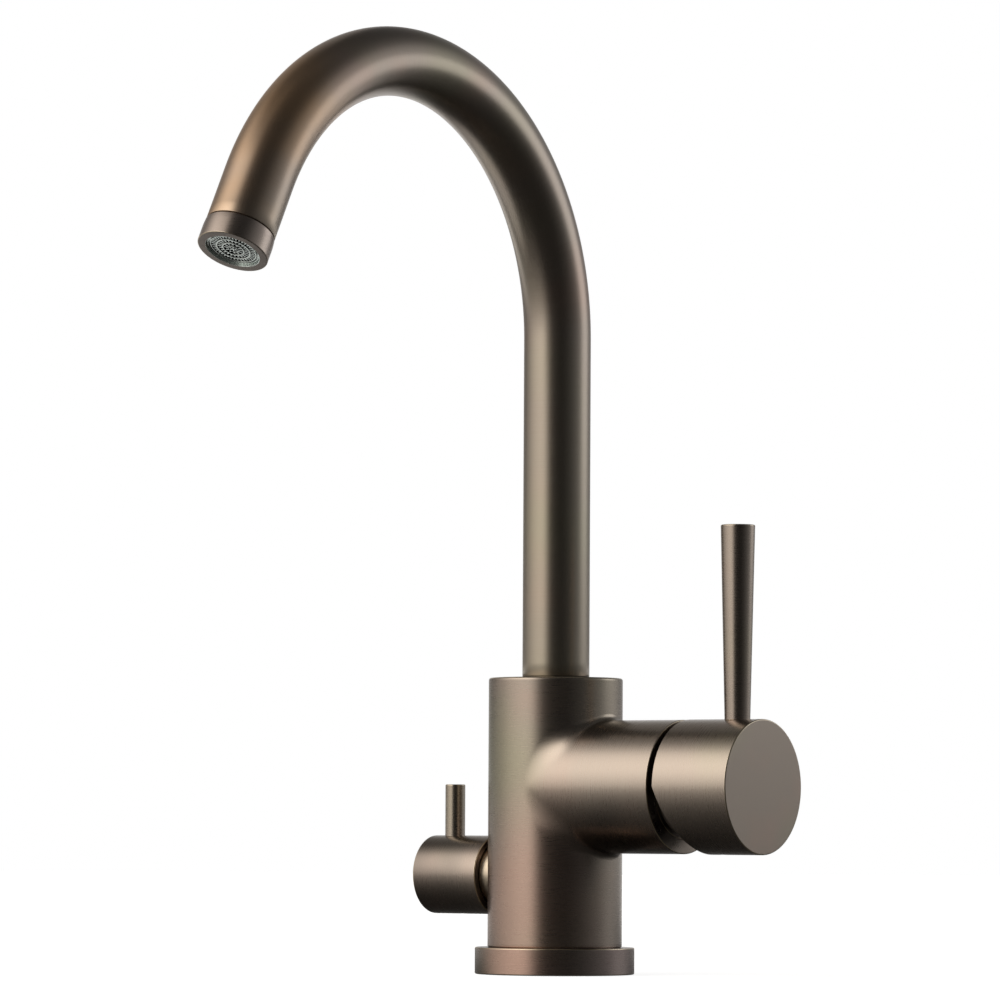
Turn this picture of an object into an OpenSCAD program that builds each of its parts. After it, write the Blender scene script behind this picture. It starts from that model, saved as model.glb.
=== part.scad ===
// Kitchen mixer tap with a swivelling bent spout, a side lever and a dishwasher shut-off valve.
// +Z is up, the spout points to -Y, the lever to +X and the shut-off valve to -X.
// The origin is the centre of the base ring's underside, on the worktop.

/* [Base] */
// Outer diameter of the base ring
ring_d = 59.4; // [57:0.2:70]
// Height of the base ring
ring_h = 10; // [7:0.5:16]
// Rounding of the base ring's edges
ring_edge = 0.8; // [0.3:0.1:2]
// Thickness of the gasket under the ring
gasket_h = 1.8; // [1:0.1:3]
// Width of the gasket's band
gasket_w = 4; // [2.5:0.1:5]
// Diameter of the body's foot inside the ring
foot_d = 42; // [40:0.5:46]
// Gap between the body's foot and the worktop
foot_rise = 1.5; // [0.5:0.1:3]

/* [Connections below] */
// Bore of a hose port, tapped M10 x 1
hose_port_d = 9; // [8:0.1:10]
// Depth of a hose port's thread
hose_port_l = 12; // [8:0.5:16]
// Bore of a stud hole, tapped M8
stud_hole_d = 6.8; // [5:0.1:8]
// Depth of a stud hole
stud_hole_l = 14; // [8:0.5:18]
// Distance between the two stud holes
stud_spacing = 30; // [27:0.5:32]
// Distance of the hot and cold risers in front of the body's axis
riser_x = 10; // [9:0.5:12]
// Distance of the hot and cold risers to each side
riser_y = 8; // [7:0.25:9]
// Bore of the hot and cold risers
riser_d = 5.8; // [4:0.1:6]
// Distance of the dishwasher port behind the body's axis
drain_x = 13; // [11.5:0.25:15]

/* [Body] */
// Diameter of the upright body
body_d = 50; // [48:0.5:56]
// Height of the body above the base ring
body_h = 100; // [96:1:130]
// Rounding of the body's top edge
body_edge = 1; // [0.3:0.1:2]
// Rounding of the body's bottom edge
body_low_edge = 0.5; // [0.2:0.1:1.5]
// Diameter of the cartridge branch
branch_d = 49.2; // [46:0.2:49.6]
// Distance from the body's axis to the branch's rim
branch_reach = 58.9; // [56:0.1:70]
// Height of the branch's axis above the base ring
branch_rise = 59.5; // [55:0.5:64]
// Rounding of the branch's rim
branch_edge = 0.4; // [0.2:0.1:1]
// Depth of the socket for the spout's foot
socket_l = 29; // [26:0.5:30]

/* [Spout] */
// Outer diameter of the spout tube
tube_d = 25; // [22:0.5:28]
// Wall of the spout tube
tube_wall = 1.2; // [1:0.1:1.8]
// Straight height of the tube above the body
leg_h = 126.7; // [60:0.1:200]
// Radius of the arc's centre line
arc_r = 93.9; // [60:0.1:130]
// Angle of the arc
arc_angle = 152.25; // [120:0.25:175]
// Straight tail between the arc and the aerator collar
tail_l = 21.3; // [14:0.1:60]
// Length of the foot fitting inside the tube
spigot_l = 16; // [10:0.5:30]
// Bore of the foot fitting
nipple_bore_d = 16; // [12:0.5:17]
// Half of the angle that the spout swivels through
swivel_half = 60; // [30:5:70]
// Height left for the slide washer between the body and the tube
washer_h = 0.5; // [0.4:0.05:1.5]
// Thickness of the spout's O-rings
o_ring_d = 2; // [1.4:0.1:2.4]
// Width of the glide ring
glide_w = 4; // [2:0.5:5]
// Thread diameter of the grub screw that keeps the spout in
spout_screw_d = 4.2; // [3:0.1:5]
// Length of that grub screw
spout_screw_l = 10; // [6:0.5:14]

/* [Aerator] */
// Outer diameter of the aerator collar
collar_d = 25.6; // [25:0.1:28]
// Length of the aerator collar
collar_l = 8.9; // [8:0.1:14]
// Diameter of the collar's mouth
mouth_d = 19.4; // [16:0.2:20]
// Thickness of the collar's lip
lip_h = 1.4; // [0.8:0.1:2]
// Depth of the insert's face below the collar's rim
insert_recess = 0.9; // [0.2:0.1:1.3]
// Ribs in each ring of the insert
insert_ribs = 24; // [12:1:32]
// Length of the threaded bush inside the tube
bush_l = 12; // [6:0.5:13]
// Length of the bush's thread inside the collar
bush_thread_l = 4.4; // [3:0.1:5]

/* [Cartridge] */
// Diameter of the cartridge
cartridge_d = 35; // [33:0.5:37]
// Height of the cartridge's base
base_h = 5.2; // [4:0.1:7]
// Length of the cartridge's housing up to its shoulder
housing_l = 23.2; // [22:0.1:28]
// Wall of the cartridge's housing
housing_wall = 1.2; // [0.8:0.1:1.6]
// Diameter of the housing's neck
neck_d = 30.6; // [30:0.2:32]
// Length of the housing's neck
neck_l = 4.5; // [4:0.1:6]
// Thickness of a ceramic disc
disc_h = 3.6; // [3:0.1:4.5]
// Diameter of the moving disc
moving_disc_d = 23.2; // [21:0.2:24]
// Height of the inlet ports above the cartridge's axis
inlet_rise = 6; // [5.5:0.25:7]
// Depth of the outlet port below the cartridge's axis
outlet_drop = 4; // [3:0.25:5]
// Diameter of the inlet ports
inlet_d = 5.2; // [4:0.1:5.6]
// Diameter of the outlet port
outlet_d = 6.4; // [5:0.1:7]
// Diameter of the rotor's journal
rotor_d = 27.2; // [26:0.2:28]
// Length of the cartridge nut
nut_l = 7; // [5:0.5:8]
// Outer diameter of the nut's thread
nut_d = 38.2; // [37:0.2:41]

/* [Lever] */
// Largest tilt of the lever
tilt_max = 20; // [10:1:22]
// Diameter of the lever's cap
cap_d = 49.4; // [47:0.2:52]
// Length of the lever's cap
cap_l = 32.2; // [30:0.2:40]
// Gap between the branch's rim and the cap
cap_gap = 2.6; // [2.2:0.1:5]
// Wall of the cap
cap_wall = 3.1; // [2.4:0.1:3.6]
// Thickness of the cap's front
cap_front = 5; // [3:0.1:6]
// How far the slanted rear edge has moved forward at the bottom
cap_slant = 9.6; // [9:0.1:14]
// Rounding of the cap's front edge
cap_edge = 0.5; // [0.2:0.1:1.5]
// Distance of the rod's axis from the cap's rear edge
rod_set = 20.6; // [19:0.1:23]
// Diameter of the rod at its foot
rod_low_d = 9.4; // [8:0.1:11]
// Diameter of the rod at its top
rod_top_d = 12.6; // [9:0.1:16]
// Length of the rod
rod_l = 71.4; // [40:0.1:110]
// Rounding of the rod's top edge
rod_edge = 0.5; // [0.2:0.1:2]
// Side of the square lever spindle
spindle_w = 8; // [6:0.1:9]
// Length of the spindle inside the cap's boss
grip_l = 12; // [10:0.2:12.6]
// Diameter of the pivot pin
pin_d = 3; // [2:0.1:3.4]
// Thread diameter of the lever's grub screw
lever_screw_d = 4.2; // [3:0.1:5]
// Length of the lever's grub screw
lever_screw_l = 8; // [5:0.5:12]

/* [Shut-off valve] */
// Height of the valve's axis above the base ring
valve_rise = 26.5; // [24:0.5:30]
// Diameter of the knob
knob_d = 29.4; // [28:0.2:34]
// Length of the knob
knob_l = 29.2; // [27:0.2:36]
// Gap between the body's side and the knob
knob_gap = 1.6; // [1:0.1:3]
// Diameter of the valve's neck
valve_neck_d = 23.4; // [21:0.2:24]
// Diameter of the valve's pocket in the body
valve_pocket_d = 18.4; // [17.4:0.2:19]
// Distance of the valve's seat from the body's axis
seat_x = 8; // [7:0.25:9]
// Diameter of the valve's spindle
valve_spindle_d = 8; // [6:0.2:9]
// Diameter of the valve's discs
valve_disc_d = 15.2; // [14:0.2:15.4]
// Thickness of the valve's discs
valve_disc_h = 2.5; // [2:0.1:3]
// Diameter of the knob's stick
stick_d = 7.5; // [5:0.1:9]
// Length of the stick outside the knob
stick_l = 19.2; // [12:0.1:26]
// Distance of the stick from the knob's outer face
stick_set = 9; // [6:0.1:12]
// Thread diameter of the knob's grub screw
knob_screw_d = 3.3; // [2.4:0.1:4]
// Length of the knob's grub screw
knob_screw_l = 8; // [5:0.5:9]

/* [Hidden] */
$fn = 72;

// Colours
bronze = [0.36, 0.32, 0.28];
dark_bronze = [0.20, 0.18, 0.16];
raw_brass = [0.78, 0.62, 0.34];
steel = [0.72, 0.73, 0.74];
rubber = [0.10, 0.10, 0.10];
white_plastic = [0.92, 0.92, 0.90];
grey_plastic = [0.55, 0.58, 0.52];
ceramic = [0.95, 0.94, 0.90];

// Clearances: flat faces of neighbours, fitted curved faces, running journals, cutters past a face
seat_gap = 0.05;
fit_gap = 0.05;
running_gap = 0.06;
past = 1;

// The tube's tail starts a little early and is a hair wider, so that its surface crosses the arc's
tail_lap = 0.3;
tail_extra = 0.002;

// Base and body
ring_r = ring_d / 2;
foot_r = foot_d / 2;
body_r = body_d / 2;
branch_r = branch_d / 2;
body_top = ring_h + body_h;
branch_z = ring_h + branch_rise;
valve_z = ring_h + valve_rise;
gasket_r = (foot_r + ring_r) / 2;
port_centres = [[riser_x, riser_y], [riser_x, -riser_y], [-drain_x, 0]];
stud_centres = [[0, stud_spacing / 2], [0, -stud_spacing / 2]];

// Spout
tube_r = tube_d / 2;
tube_in_r = tube_r - tube_wall;
nipple_r = tube_in_r - fit_gap;
nipple_bore_r = nipple_bore_d / 2;
socket_r = nipple_r + running_gap;
socket_z = body_top - socket_l;
nipple_z = socket_z + 1;
tube_z = body_top + washer_h;
arc_z = body_top + leg_h;
o_ring_wall = nipple_r - o_ring_d;
o_ring_groove_w = o_ring_d + 0.3;
o_ring_low_z = nipple_z + 3.2;
o_ring_zs = [o_ring_low_z, o_ring_low_z + o_ring_groove_w + 3];
stop_groove_w = spout_screw_d + 0.6;
stop_z = o_ring_zs[1] + o_ring_groove_w + 2 + stop_groove_w / 2;
stop_depth = 1.9;
stop_half = swivel_half + asin(spout_screw_d / 2 / (nipple_r - stop_depth)) + 1.5;
glide_z = stop_z + stop_groove_w / 2 + 1.8;
glide_depth = 1;

// Aerator, measured along the tail from the seam between tube and collar
collar_r = collar_d / 2;
mouth_r = mouth_d / 2;
bush_bore_r = nipple_r - 2.4;
bush_thread_r = nipple_r - 0.25;
collar_bore_r = bush_thread_r + fit_gap;
lip_start = collar_l - lip_h;
insert_face = collar_l - insert_recess;
insert_start = bush_thread_l + 1.2;
insert_bands = [[2.2, 3.6], [4.4, 5.8], [6.6, 8]];
rib_w = 0.5;

// Cartridge, measured along the branch from the body's axis and counted inwards from the rim
dome_sink = 0.3;
dome_skirt_l = 4;
dome_wall = 1.2;
dome_x0 = branch_reach - dome_sink - dome_skirt_l;
nut_x0 = dome_x0 - seat_gap - nut_l;
shoulder_x = nut_x0 - seat_gap;
housing_x0 = shoulder_x - housing_l;
base_x0 = housing_x0 - seat_gap - base_h;
floor_x = base_x0 - seat_gap;
neck_x1 = shoulder_x + neck_l;
cartridge_r = cartridge_d / 2;
pocket_r = cartridge_r + 0.1;
nut_r = nut_d / 2;
nut_bore_r = nut_r + fit_gap;
nut_slot_w = 5;
nut_slot_h = 2.5;
neck_r = neck_d / 2;
cavity_r = cartridge_r - housing_wall;
rotor_r = rotor_d / 2;
fixed_x0 = housing_x0;
moving_x0 = fixed_x0 + disc_h + seat_gap;
moving_disc_r = moving_disc_d / 2;
carrier_x0 = moving_x0 + disc_h + seat_gap;
carrier_plate_h = 2.5;
carrier_h = 6;
carrier_floor = 1;
ball_r = 2.8;
ball_x = carrier_x0 + carrier_floor + ball_r + 0.6;
front_wall = 2.5;
rotor_x0 = carrier_x0 + carrier_h + 0.5;
rotor_flange_x1 = shoulder_x - front_wall - 0.1;
rotor_x1 = neck_x1 - 0.3;
pivot_x = shoulder_x - 0.5;
pin_r = pin_d / 2;
pin_half = rotor_r - 0.7;
slot_half = spindle_w / 2 + 3;
slot_w = spindle_w + 0.2;
spindle_tail = spindle_w / 2 - 0.5;
arm_r = 2.4;
rotor_groove_x = pivot_x + pin_r + 0.5;
rotor_groove_w = 1.6;
rotor_groove_depth = 1.2;
seal_wall = 2;
seal_h = 1.1;
inlet_r = inlet_d / 2;
outlet_r = outlet_d / 2;
key_r = 1.8;
key_l = 2;
key_y = 11;
key_drop = 8;
pocket_lobe_r = 3.8;
pocket_lobe_y = 6;
pocket_lobe_drop = 1.5;
pocket_main_r = 6;
pocket_depth = 2.2;

// Lever
cap_r = cap_d / 2;
cap_x0 = branch_reach + cap_gap;
cap_x1 = cap_x0 + cap_l;
cap_cavity_r = cap_r - cap_wall;
dome_r = cap_cavity_r - 0.8;
dome_hole_r = 13;
boss_x0 = pivot_x + dome_r + 0.3;
boss_wall = 4.6;
boss_r = spindle_w / 2 + boss_wall;
spindle_x1 = boss_x0 + grip_l;
lever_screw_x = boss_x0 + grip_l * 2 / 3;
rod_x = cap_x0 + rod_set;
rod_foot_r = 3;
rod_foot_l = 13.4;
rod_boss_r = 6.2;
rod_low_r = rod_low_d / 2;
rod_seat = sqrt(cap_r * cap_r - rod_low_r * rod_low_r) - 0.05;

// Shut-off valve, measured outwards from the body's axis
knob_r = knob_d / 2;
knob_x0 = body_r + knob_gap;
knob_x1 = knob_x0 + knob_l;
valve_neck_r = valve_neck_d / 2;
spot_r = valve_neck_r + 0.3;
spot_x = sqrt(body_r * body_r - spot_r * spot_r) - 0.1;
valve_pocket_r = valve_pocket_d / 2;
feed_r = 2.4;
seat_seal_h = 1.4;
barrel_x0 = seat_x + seat_gap + seat_seal_h + seat_gap;
valve_disc_r = valve_disc_d / 2;
valve_moving_x0 = barrel_x0 + valve_disc_h + seat_gap;
valve_foot_x0 = valve_moving_x0 + valve_disc_h + seat_gap;
valve_foot_h = 3;
barrel_bore_r = valve_disc_r + 0.1;
barrel_bore_x1 = valve_foot_x0 + valve_foot_h + 0.2;
barrel_r = valve_pocket_r - 0.6;
barrel_thread_l = 4;
valve_neck_x1 = knob_x0 + 1.9;
guide_r = valve_spindle_d / 2 + 3.4;
guide_l = 7.6;
guide_x1 = valve_neck_x1 + guide_l;
shaft_r = valve_spindle_d / 2;
shaft_reach = 9.6;
shaft_x1 = guide_x1 + shaft_reach;
valve_groove_x = valve_neck_x1 + 2.5;
valve_groove_w = 1.6;
valve_groove_depth = 1;
clip_h = 0.9;
clip_depth = 0.6;
clip_r = shaft_r + 2.2;
knob_recess_r = valve_neck_r + 0.5;
knob_hub_x0 = guide_x1 + 2.4;
knob_screw_x = shaft_x1 - 3;
flat_depth = 1;
window_r = 1.9;
window_y = 3.7;
stick_x = knob_x1 - stick_set;
stick_r = stick_d / 2;
stick_seat = sqrt(knob_r * knob_r - stick_r * stick_r) - 0.05;
stick_stub_r = 2;
stick_stub_l = 6;
stick_chamfer = 0.4;

// What is left when a quarter disc is taken out of a square: it rounds a corner of a profile
module corner_cutter(e) {
    difference() {
        square(e + past);
        circle(e);
    }
}

// Half profile of a round piece from its axis outwards, with rounded lower and upper edges
module round_profile(r, h, low_edge, high_edge) {
    difference() {
        square([r, h]);
        if (low_edge > 0) translate([r - low_edge, low_edge]) rotate(-90) corner_cutter(low_edge);
        if (high_edge > 0) translate([r - high_edge, h - high_edge]) corner_cutter(high_edge);
    }
}

// A flat ring or tube from height z0 to z1
module band(r_out, r_in, z0, z1) {
    translate([0, 0, z0])
        difference() {
            cylinder(r = r_out, h = z1 - z0);
            translate([0, 0, -past]) cylinder(r = r_in, h = z1 - z0 + 2 * past);
        }
}

// A rod from height z0 to z1
module bar(r, z0, z1) {
    translate([0, 0, z0]) cylinder(r = r, h = z1 - z0);
}

// An O-ring whose outside touches r_out, centred on height z
module o_ring(r_out, d, z) {
    translate([0, 0, z]) rotate_extrude() translate([r_out - d / 2, 0]) circle(d / 2);
}

// The branch's axis: local z runs outwards along +X, local x downwards
module on_branch_axis() {
    translate([0, 0, branch_z]) rotate([0, 90, 0]) children();
}

// The valve's axis: local z runs outwards along -X, local x upwards
module on_valve_axis() {
    translate([0, 0, valve_z]) rotate([0, -90, 0]) children();
}

// The seam between tube and collar: local z runs outwards along the tail
module at_seam() {
    translate([0, -arc_r + arc_r * cos(arc_angle), arc_z + arc_r * sin(arc_angle)])
        rotate([arc_angle, 0, 0]) translate([0, 0, tail_l]) children();
}

// Base

module base_ring() {
    color(bronze)
        rotate_extrude() difference() {
            round_profile(ring_r, ring_h - seat_gap, ring_edge / 2, ring_edge);
            translate([0, -past]) square([foot_r + fit_gap, ring_h + 2 * past]);
            translate([gasket_r - gasket_w / 2, -past]) square([gasket_w, gasket_h + past]);
        }
}

module base_gasket() {
    color(rubber)
        band(gasket_r + gasket_w / 2 - fit_gap, gasket_r - gasket_w / 2 + fit_gap, 0, gasket_h - seat_gap);
}

// Body

module body_outside() {
    translate([0, 0, ring_h])
        rotate_extrude() round_profile(body_r, body_h, body_low_edge, body_edge);
    bar(foot_r, foot_rise, ring_h + past);
    on_branch_axis()
        rotate_extrude() round_profile(branch_r, branch_reach, 0, branch_edge);
}

module connections_below() {
    for (p = port_centres)
        translate([p[0], p[1], 0]) bar(hose_port_d / 2, foot_rise - past, foot_rise + hose_port_l);
    for (p = stud_centres)
        translate([p[0], p[1], 0]) bar(stud_hole_d / 2, foot_rise - past, foot_rise + stud_hole_l);
}

// Hot and cold water rise to the cartridge's floor, mixed water comes back and rises into the spout
module mixer_channels() {
    for (side = [-1, 1]) {
        translate([riser_x, side * riser_y, 0])
            bar(riser_d / 2, foot_rise + hose_port_l - past, branch_z + inlet_rise + inlet_r);
        on_branch_axis() translate([-inlet_rise, side * riser_y, 0]) bar(inlet_r, riser_x, floor_x + past);
    }
    on_branch_axis() translate([outlet_drop, 0, 0]) bar(outlet_r, 0, floor_x + past);
    bar(outlet_r + 0.3, branch_z - outlet_drop - outlet_r, socket_z + past);
}

// Cold water feeds the shut-off valve through a slanted bore, and leaves it down to the third port
module valve_channels() {
    feed_run = [seat_x + riser_x, -riser_y];
    translate([-seat_x, 0, valve_z])
        rotate([0, 0, atan2(feed_run[1], feed_run[0])]) rotate([0, 90, 0])
            bar(feed_r, -past, norm(feed_run));
    translate([-drain_x, 0, 0])
        bar(riser_d / 2, foot_rise + hose_port_l - past, valve_z);
}

module cartridge_pocket() {
    on_branch_axis() {
        bar(pocket_r, floor_x, branch_reach + past);
        bar(nut_bore_r, nut_x0 - seat_gap, branch_reach + past);
        for (side = [-1, 1])
            translate([key_drop, side * key_y, 0]) bar(key_r + 0.1, floor_x - key_l - 0.4, floor_x + past);
    }
}

module valve_pocket() {
    on_valve_axis() {
        bar(valve_pocket_r, seat_x, body_r + past);
        bar(spot_r, spot_x, body_r + past);
    }
}

module spout_socket() {
    bar(socket_r, socket_z, body_top + past);
    translate([0, 0, stop_z]) rotate([-90, 0, 0]) bar(spout_screw_d / 2, socket_r - past, body_r + past);
}

module body() {
    color(bronze)
        difference() {
            body_outside();
            connections_below();
            mixer_channels();
            valve_channels();
            cartridge_pocket();
            valve_pocket();
            spout_socket();
        }
}

// Spout

module bent_rod(r, z0, tail) {
    bar(r, z0, arc_z);
    translate([0, -arc_r, arc_z]) rotate([90, 0, 90])
        rotate_extrude(angle = arc_angle) translate([arc_r, 0]) circle(r);
    at_seam() bar(r + tail_extra, -tail_l - tail_lap, tail);
}

module spout_tube() {
    color(bronze)
        difference() {
            union() bent_rod(tube_r, tube_z, 0);
            union() bent_rod(tube_in_r, tube_z - past, past);
        }
}

module spout_nipple() {
    color(raw_brass)
        difference() {
            bar(nipple_r, nipple_z, tube_z + spigot_l);
            bar(nipple_bore_r, nipple_z - past, tube_z + spigot_l + past);
            for (z = o_ring_zs)
                band(nipple_r + past, o_ring_wall, z, z + o_ring_groove_w);
            band(nipple_r + past, nipple_r - glide_depth, glide_z, glide_z + glide_w + 0.2);
            rotate([0, 0, 90 - stop_half])
                rotate_extrude(angle = 2 * stop_half)
                    translate([nipple_r - stop_depth, stop_z - stop_groove_w / 2])
                        square([stop_depth + past, stop_groove_w]);
        }
}

module spout_o_rings() {
    color(rubber)
        for (z = o_ring_zs)
            o_ring(nipple_r + running_gap / 2, o_ring_d, z + o_ring_groove_w / 2);
}

module spout_glide_ring() {
    color(white_plastic)
        difference() {
            band(nipple_r + running_gap / 2, nipple_r - glide_depth + fit_gap, glide_z + 0.1,
                glide_z + 0.1 + glide_w);
            translate([0, -nipple_r - past, glide_z]) cube([1, nipple_r, glide_w + past]);
        }
}

module spout_slide_washer() {
    color(rubber)
        band(tube_r - 0.1, nipple_r + 0.15, body_top + seat_gap, tube_z - seat_gap);
}

module spout_retaining_screw() {
    tip = nipple_r - stop_depth + 0.3;
    color(steel)
        translate([0, 0, stop_z]) rotate([-90, 0, 0])
            difference() {
                bar(spout_screw_d / 2 - fit_gap, tip, tip + spout_screw_l);
                translate([0, 0, tip + spout_screw_l - 2.4]) cylinder(r = 1.4, h = 2.4 + past, $fn = 6);
            }
}

// Aerator

module outlet_bush() {
    color(raw_brass)
        at_seam() difference() {
            union() {
                bar(nipple_r, -bush_l, 0);
                bar(bush_thread_r, -past, bush_thread_l);
            }
            bar(bush_bore_r, -bush_l - past, bush_thread_l + past);
        }
}

module aerator_collar() {
    color(bronze)
        at_seam() rotate_extrude() difference() {
            translate([0, seat_gap]) round_profile(collar_r, collar_l - seat_gap, 0.2, 0.5);
            square([collar_bore_r, lip_start]);
            square([mouth_r, collar_l + past]);
        }
}

module aerator_washer() {
    color(rubber)
        at_seam() band(collar_bore_r - 0.1, bush_bore_r + 0.2, bush_thread_l + seat_gap, insert_start - seat_gap);
}

module insert_slots() {
    for (b = insert_bands)
        difference() {
            band(b[1], b[0], insert_start - past, collar_l);
            for (i = [0 : insert_ribs - 1])
                rotate([0, 0, i * 360 / insert_ribs])
                    translate([0, -rib_w / 2, insert_start - 2 * past])
                        cube([mouth_r, rib_w, collar_l]);
        }
}

module aerator_insert() {
    color(grey_plastic)
        at_seam() difference() {
            union() {
                bar(collar_bore_r - 0.1, insert_start, lip_start - seat_gap);
                bar(mouth_r - 0.1, lip_start - past, insert_face);
            }
            insert_slots();
        }
}

module aerator_flow_plate() {
    hole_count = 12;
    color(white_plastic)
        at_seam() difference() {
            bar(bush_bore_r - 0.1, bush_thread_l - 2.6, bush_thread_l);
            for (i = [0 : hole_count - 1])
                rotate([0, 0, i * 360 / hole_count])
                    translate([bush_bore_r * 0.65, 0, 0]) bar(0.9, bush_thread_l - 2.6 - past, bush_thread_l + past);
        }
}

// Cartridge

module at_ports(lift) {
    for (side = [-1, 1])
        translate([-inlet_rise, side * riser_y, lift]) children(0);
    translate([outlet_drop, 0, lift]) children(1);
}

module port_holes(z0, z1) {
    at_ports(0) {
        bar(inlet_r, z0, z1);
        bar(outlet_r, z0, z1);
    }
}

module cartridge_base() {
    color(white_plastic)
        on_branch_axis() difference() {
            union() {
                bar(cartridge_r - 0.1, base_x0, base_x0 + base_h);
                for (side = [-1, 1])
                    translate([key_drop, side * key_y, 0]) bar(key_r, base_x0 - key_l, base_x0 + past);
            }
            port_holes(base_x0 - past, base_x0 + base_h + past);
            at_ports(base_x0) {
                bar(inlet_r + seal_wall, -past, seal_h);
                bar(outlet_r + seal_wall, -past, seal_h);
            }
        }
}

module cartridge_port_seals() {
    color(rubber)
        on_branch_axis() at_ports(base_x0) {
            band(inlet_r + seal_wall - fit_gap, inlet_r, 0, seal_h - seat_gap);
            band(outlet_r + seal_wall - fit_gap, outlet_r, 0, seal_h - seat_gap);
        }
}

module cartridge_housing() {
    color(white_plastic)
        on_branch_axis() difference() {
            union() {
                bar(cartridge_r, housing_x0, shoulder_x);
                bar(neck_r, shoulder_x - past, neck_x1);
            }
            bar(cavity_r, housing_x0 - past, shoulder_x - front_wall);
            bar(rotor_r + running_gap, housing_x0, neck_x1 + past);
        }
}

module cartridge_fixed_disc() {
    color(ceramic)
        on_branch_axis() difference() {
            bar(cavity_r - 0.1, fixed_x0, fixed_x0 + disc_h);
            port_holes(fixed_x0 - past, fixed_x0 + disc_h + past);
        }
}

// The mixing pocket faces the fixed disc and joins the outlet to whichever inlets it reaches
module cartridge_moving_disc() {
    color(ceramic)
        on_branch_axis() difference() {
            bar(moving_disc_r, moving_x0, moving_x0 + disc_h);
            translate([outlet_drop, 0, 0]) bar(pocket_main_r, moving_x0 - past, moving_x0 + pocket_depth);
            for (side = [-1, 1])
                translate([pocket_lobe_drop, side * pocket_lobe_y, 0])
                    bar(pocket_lobe_r, moving_x0 - past, moving_x0 + pocket_depth);
        }
}

module cartridge_disc_carrier() {
    color(grey_plastic)
        on_branch_axis() difference() {
            union() {
                bar(moving_disc_r, carrier_x0, carrier_x0 + carrier_plate_h);
                bar(ball_r + 3.2, carrier_x0, carrier_x0 + carrier_h);
            }
            bar(ball_r + 0.08, carrier_x0 + carrier_floor, carrier_x0 + carrier_h + past);
        }
}

module cartridge_rotor() {
    color(grey_plastic)
        on_branch_axis() difference() {
            union() {
                bar(rotor_r, rotor_x0, rotor_x1);
                bar(cavity_r - 0.3, rotor_x0, rotor_flange_x1);
            }
            translate([-slot_half, -slot_w / 2, rotor_x0 - past])
                cube([2 * slot_half, slot_w, rotor_x1 - rotor_x0 + 2 * past]);
            translate([0, -pin_half, pivot_x]) rotate([-90, 0, 0]) bar(pin_r + 0.03, 0, 2 * pin_half);
            band(rotor_r + past, rotor_r - rotor_groove_depth, rotor_groove_x, rotor_groove_x + rotor_groove_w);
        }
}

module cartridge_rotor_o_ring() {
    color(rubber)
        on_branch_axis()
            o_ring(rotor_r + running_gap / 2, rotor_groove_depth, rotor_groove_x + rotor_groove_w / 2);
}

module cartridge_pivot_pin() {
    color(steel)
        on_branch_axis()
            translate([0, -pin_half + 0.05, pivot_x]) rotate([-90, 0, 0]) bar(pin_r, 0, 2 * pin_half - 0.1);
}

module cartridge_nut() {
    color(raw_brass)
        on_branch_axis() difference() {
            band(nut_r, neck_r + 0.2, nut_x0, nut_x0 + nut_l);
            for (a = [0, 90])
                rotate([0, 0, a])
                    translate([-nut_r - past, -nut_slot_w / 2, nut_x0 + nut_l - nut_slot_h])
                        cube([2 * (nut_r + past), nut_slot_w, nut_slot_h + past]);
        }
}

// The dome is a shell of a sphere about the lever's pivot, so that the tilting cap never meets it
module cartridge_dome() {
    dome_x1 = dome_x0 + dome_skirt_l;
    color(dark_bronze)
        on_branch_axis() rotate_extrude() difference() {
            union() {
                translate([0, dome_x0]) square([nut_r, dome_skirt_l]);
                intersection() {
                    translate([0, pivot_x]) circle(dome_r);
                    translate([0, dome_x1 - past / 2]) square([dome_r, dome_r]);
                }
            }
            translate([0, pivot_x]) circle(dome_r - dome_wall);
            translate([0, dome_x0 - past]) square([dome_hole_r, dome_r * 2]);
        }
}

// Lever

module lever_spindle() {
    color(steel)
        on_branch_axis() difference() {
            union() {
                translate([-spindle_w / 2, -spindle_w / 2, pivot_x - spindle_tail])
                    cube([spindle_w, spindle_w, spindle_x1 - pivot_x + spindle_tail]);
                bar(arm_r, ball_x, pivot_x - spindle_tail + 0.5);
                translate([0, 0, ball_x]) sphere(ball_r);
            }
            translate([0, -spindle_w / 2 - past, pivot_x]) rotate([-90, 0, 0])
                bar(pin_r + running_gap, 0, spindle_w + 2 * past);
        }
}

// From the axis down, the cap's rear edge slants forward to leave room for the tilt
module cap_rear_slant() {
    reach = cap_r + 2;
    rotate([90, 0, 0])
        linear_extrude(2 * reach, center = true)
            polygon([[cap_x0 - past, 0], [cap_x0, 0], [cap_x0 + cap_slant * reach / cap_r, -reach],
                [cap_x0 - past, -reach]]);
}

module cap_solid() {
    on_branch_axis() {
        difference() {
            translate([0, 0, cap_x0]) rotate_extrude() round_profile(cap_r, cap_l, 0, cap_edge);
            bar(cap_cavity_r, cap_x0 - past, cap_x1 - cap_front);
        }
        bar(boss_r, boss_x0, cap_x1 - past);
    }
    translate([rod_x, 0, branch_z]) bar(rod_boss_r, spindle_w / 2 + 1, cap_r - 1.2);
    translate([lever_screw_x, 0, branch_z]) bar(lever_screw_d / 2 + 2, -cap_r + 1.2, -spindle_w / 2 - 1);
}

module lever_cap() {
    hole = spindle_w + 0.2;
    color(bronze)
        difference() {
            cap_solid();
            translate([0, 0, branch_z]) cap_rear_slant();
            on_branch_axis() translate([-hole / 2, -hole / 2, boss_x0 - past])
                cube([hole, hole, spindle_x1 - boss_x0 + past + 0.3]);
            translate([rod_x, 0, branch_z]) {
                bar(rod_low_r + 0.05, rod_seat, cap_r + past);
                bar(rod_foot_r + fit_gap, rod_seat - rod_foot_l - 0.4, cap_r + past);
            }
            translate([lever_screw_x, 0, branch_z]) bar(lever_screw_d / 2, -cap_r - past, 0);
        }
}

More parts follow.
